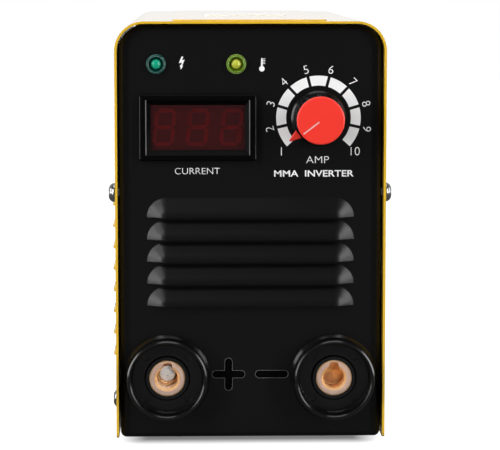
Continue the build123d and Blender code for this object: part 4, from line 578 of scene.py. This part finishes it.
# Earth sign beside the stud on the rear panel
REAR_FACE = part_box("rear_panel")[1][1]
stud = middle("earth_stud")
EARTH_SIGN_SHIFT = 14.0 * MM
BAR_THICK = 0.55 * MM
earth_bars = [
    (0.0, 1.9 * MM, BAR_THICK, 4.2 * MM),
    (0.0, 0.0, 6.6 * MM, BAR_THICK),
    (0.0, -1.5 * MM, 4.4 * MM, BAR_THICK),
    (0.0, -3.0 * MM, 2.2 * MM, BAR_THICK),
]
earth_outlines = [
    [(x - w / 2, y - h / 2), (x + w / 2, y - h / 2), (x + w / 2, y + h / 2), (x - w / 2, y + h / 2)]
    for x, y, w, h in earth_bars
]
rear_spot = on_face(FACING_REAR, stud.x - EARTH_SIGN_SHIFT, REAR_FACE, stud.z)
printed("earth_sign", earth_outlines, rear_spot, white_ink)

# Polarity signs: a darker sheet in the pressed shapes as painted shade, and a lighter band round their edges
# as a painted highlight
SIGN_ABOVE_SOCKETS = 1.2 * MM
SIGN_LENGTH = 13.6 * MM
SIGN_HALF = 1.5 * MM
SIGN_DEPTH = 0.7 * MM
SIGN_GAP = 0.02 * MM
SIGN_HIGHLIGHT_WIDTH = 0.2 * MM


def sign_outline(arms, half):
    """Outline of a minus (two arms) or a plus (four arms) with round ends; half is half a stroke's width."""
    outline = []
    for arm in range(arms):
        turn = Matrix.Rotation(math.tau * arm / arms, 2)
        cap = [(x + SIGN_LENGTH / 2 - SIGN_HALF, y) for x, y in arc_points(half, -90, 90, 10)]
        corner = [(half, half)] if arms == 4 else []
        outline += [tuple(turn @ Vector(point)) for point in cap + corner]
    return outline


# painted shade: a near-black sheet laid in each pressed sign, darker than the panel's own paint
sign_painted_shade = moulded("sign_painted_shade", (0.0006, 0.0006, 0.0007), 0.6, specular=0.04)
# painted highlight: a grey band round each sign's edge stands in for light caught on the pressed edge
sign_painted_highlight = ink("sign_painted_highlight", (0.09, 0.09, 0.09))
sign_z = middle("positive_socket_contact").z + SIGN_ABOVE_SOCKETS
for sign, arms, sign_x in (("plus", 4, -9.2 * MM), ("minus", 2, 8.9 * MM)):
    ground = on_face(FACING_FRONT, sign_x, FRONT_FACE + SIGN_DEPTH, sign_z)
    printed(f"{sign}_ground", [sign_outline(arms, SIGN_HALF - SIGN_GAP)], ground, sign_painted_shade)
    rim(
        f"{sign}_rim",
        sign_outline(arms, SIGN_HALF + SIGN_HIGHLIGHT_WIDTH),
        sign_outline(arms, SIGN_HALF),
        on_face(FACING_FRONT, sign_x, FRONT_FACE, sign_z),
        sign_painted_highlight,
    )

# Painted highlights on the upright edges of the meter's bezel: a bright pair round its funnel and a dim pair
# outside
bezel_low, bezel_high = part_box("meter_housing")
meter_middle = middle("meter_housing")
FUNNEL_SIZE = (43.1 * MM, 22.8 * MM)
bezel_size = (bezel_high[0] - bezel_low[0], bezel_high[2] - bezel_low[2])
BEZEL_CORNER = 0.9 * MM
bezel_face = on_face(FACING_FRONT, meter_middle.x, bezel_low[1], meter_middle.z)
for edge, size, inset, width, shade in (
    ("funnel", FUNNEL_SIZE, 0.0, 0.34 * MM, 0.14),
    ("outer", bezel_size, BEZEL_CORNER, 0.18 * MM, 0.07),
):
    half_x = size[0] / 2
    half_z = size[1] / 2 - inset
    left = [(-half_x, -half_z), (-half_x + width, -half_z), (-half_x + width, half_z), (-half_x, half_z)]
    right = [(-x, y) for x, y in reversed(left)]
    # painted highlight: grey bands standing in for light caught on the bezel's edges
    bezel_painted_highlight = ink(f"{edge}_bezel_painted_highlight", (shade, shade, shade))
    printed(f"meter_{edge}_edges", [left, right], bezel_face, bezel_painted_highlight)

# Painted highlights on the edges of the lamps' steps
FLANGE_EDGE = 3.95 * MM
FLANGE_EDGE_RISE = 0.72 * MM
STEP_EDGE = 3.4 * MM
STEP_EDGE_BACK = 0.18 * MM
EDGE_WIDTH = 0.12 * MM
EDGE_STEPS = 48
EDGE_END = 360 - 360 / EDGE_STEPS
for lamp, highlight_colour in (("power", (0.34, 0.55, 0.52)), ("thermal", (0.70, 0.82, 0.42))):
    # painted highlight: thin tinted rings standing in for light caught on the lens steps
    lens_painted_highlight = ink(f"{lamp}_lens_painted_highlight", highlight_colour)
    holder = middle(f"{lamp}_lamp_holder")
    step_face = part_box(f"{lamp}_lamp_holder")[0][1] + STEP_EDGE_BACK
    flange_face = FRONT_FACE - FLANGE_EDGE_RISE
    for edge, radius, face in (("flange", FLANGE_EDGE, flange_face), ("step", STEP_EDGE, step_face)):
        rim(
            f"{lamp}_lamp_{edge}_edge",
            arc_points(radius, 0, EDGE_END, EDGE_STEPS - 1),
            arc_points(radius - EDGE_WIDTH, 0, EDGE_END, EDGE_STEPS - 1),
            on_face(FACING_FRONT, holder.x, face, holder.z),
            lens_painted_highlight,
        )

# Pointer line on the knob's cap
cap_low, cap_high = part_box("knob_cap")
CAP_FACE = cap_low[1]
POINTER_ANGLE = 217.5
LINE_WIDTH = 0.6 * MM
LINE_SINK = 0.25 * MM
line_outline = [
    (-0.6 * MM, -LINE_WIDTH / 2),
    (8.9 * MM, -LINE_WIDTH / 2),
    (8.9 * MM, LINE_WIDTH / 2),
    (-0.6 * MM, LINE_WIDTH / 2),
]
printed(
    "knob_line",
    [line_outline],
    on_face(FACING_FRONT, KNOB.x, CAP_FACE + LINE_SINK, KNOB.z, POINTER_ANGLE),
    pale_ink,
    "current_knob",
    thickness=0.1 * MM,
)

# ---------------------------------------------------------------- floor, light and camera

FLOOR_HALF = 3.0
PAINTED_SHADE_INSET = 15 * MM  # the painted shade starts this far under the casing
PAINTED_SHADE_REACH = 12 * MM
floor_mesh = bpy.data.meshes.new("floor")
floor_corners = [(x * FLOOR_HALF, y * FLOOR_HALF, 0) for x, y in ((-1, -1), (1, -1), (1, 1), (-1, 1))]
floor_mesh.from_pydata(floor_corners, [], [(0, 1, 2, 3)])
floor = bpy.data.objects.new("floor", floor_mesh)
bpy.context.scene.collection.objects.link(floor)
floor_finish, floor_tree, floor_shader = new_material("pale_floor")
# white like a light table, except in a narrow strip round the casing's foot, where the glow fades into a
# painted contact shade laid over the real shadow
to_side = add(floor_tree, "VectorMath", {0: place(floor_tree)}, operation="ABSOLUTE").outputs[0]
foot_corner = (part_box("top_cover")[1][0] - PAINTED_SHADE_INSET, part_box("top_cover")[1][1] - PAINTED_SHADE_INSET, 1.0)
apart = add(floor_tree, "VectorMath", {0: to_side, 1: foot_corner}, operation="SUBTRACT").outputs[0]
outside = add(floor_tree, "VectorMath", {0: apart, 1: (0, 0, 0)}, operation="MAXIMUM").outputs[0]
distance = add(floor_tree, "VectorMath", {0: outside}, operation="LENGTH").outputs["Value"]
# painted shade: the floor's glow drops to 0.2 near the foot, darkening it whatever the lamps do
lit = add(floor_tree, "MapRange", {"Value": distance, "From Max": PAINTED_SHADE_REACH, "To Min": 0.2})
seen = add(floor_tree, "LightPath").outputs["Is Camera Ray"]
principled(
    floor_shader,
    floor_tree,
    Base_Color=shades(floor_tree, noise(floor_tree, 0.2), (0.16, 0.16, 0.16), (0.17, 0.17, 0.17)),
    Roughness=0.9,
    Specular_IOR_Level=0.1,
    Emission_Color=(1, 1, 1),
    Emission_Strength=add(floor_tree, "Math", {0: lit.outputs[0], 1: seen}, operation="MULTIPLY").outputs[0],
)
floor_mesh.materials.append(floor_finish)

# a room that is bright behind the machine and dim in front of it, and plain white as the backdrop
world = bpy.data.worlds.new("studio")
world.use_nodes = True
room = world.node_tree
ray = add(room, "TexCoord").outputs["Generated"]
depth_wise = add(room, "SeparateXYZ", {0: ray}).outputs["Y"]
from_front = {"Value": depth_wise, "From Min": -0.1, "From Max": 0.9, "To Min": 0.1, "To Max": 0.92}
level = add(room, "MapRange", from_front)
backdrop = add(room, "LightPath").outputs["Is Camera Ray"]
feed(room, room.nodes["Background"].inputs["Color"], shades(room, backdrop, level.outputs[0], (1, 1, 1)))
bpy.context.scene.world = world


def softbox(name, location, target, size, watts):
    """A rectangular area light that looks at target."""
    light = bpy.data.lights.new(name, "AREA")
    light.shape = "RECTANGLE"
    light.size, light.size_y = size
    light.energy = watts
    made = bpy.data.objects.new(name, light)
    made.location = location
    made.rotation_euler = (Vector(target) - Vector(location)).to_track_quat("-Z", "Y").to_euler()
    bpy.context.scene.collection.objects.link(made)


centre = (0, 0, 0.09)
for side, hand in ((-1, "left"), (1, "right")):
    softbox(f"{hand}_front_strip", (0.82 * side, -0.76, 0.3), centre, (0.13, 1.0), 11)
    softbox(f"{hand}_side_strip", (1.0 * side, -0.1, 0.2), (0, -0.1, 0.1), (0.3, 1.0), 8)
softbox("top_softbox", (0, -0.15, 1.2), centre, (0.7, 0.7), 4)
softbox("key_softbox", (-0.55, -0.9, 0.95), centre, (0.22, 0.22), 3)

# a narrow lamp on each socket's copper, which otherwise sits in the shell's shade
for polarity in ("positive", "negative"):
    contact = middle(f"{polarity}_socket_contact")
    aim = Vector((contact.x, FRONT_FACE, contact.z))
    lamp_data = bpy.data.lights.new(f"{polarity}_socket_lamp", "SPOT")
    lamp_data.spot_size = math.radians(1.3)
    lamp_data.spot_blend = 0.4
    lamp_data.shadow_soft_size = 6 * MM
    lamp_data.energy = 8
    lamp = bpy.data.objects.new(f"{polarity}_socket_lamp", lamp_data)
    lamp.location = aim + Vector((0.12, -0.8, 0.14))
    lamp.rotation_euler = (aim - lamp.location).to_track_quat("-Z", "Y").to_euler()
    bpy.context.scene.collection.objects.link(lamp)

CAMERA_PLACE = Vector((-24.14 * MM, COVER_FRONT - 900.8 * MM, PANEL_BOTTOM + 192.95 * MM))
CAMERA_PITCH = 6.511
CAMERA_TURN = 1.515
camera_data = bpy.data.cameras.new("camera")
camera_data.sensor_width = 36.0
camera_data.lens = 157.9
camera_data.clip_start = 0.01
camera_data.clip_end = 20.0
camera = bpy.data.objects.new("camera", camera_data)
camera.location = CAMERA_PLACE
camera.rotation_euler = (math.radians(90 - CAMERA_PITCH), 0, math.radians(-CAMERA_TURN))
bpy.context.scene.collection.objects.link(camera)
bpy.context.scene.camera = camera
bpy.context.scene.view_settings.view_transform = "Standard"
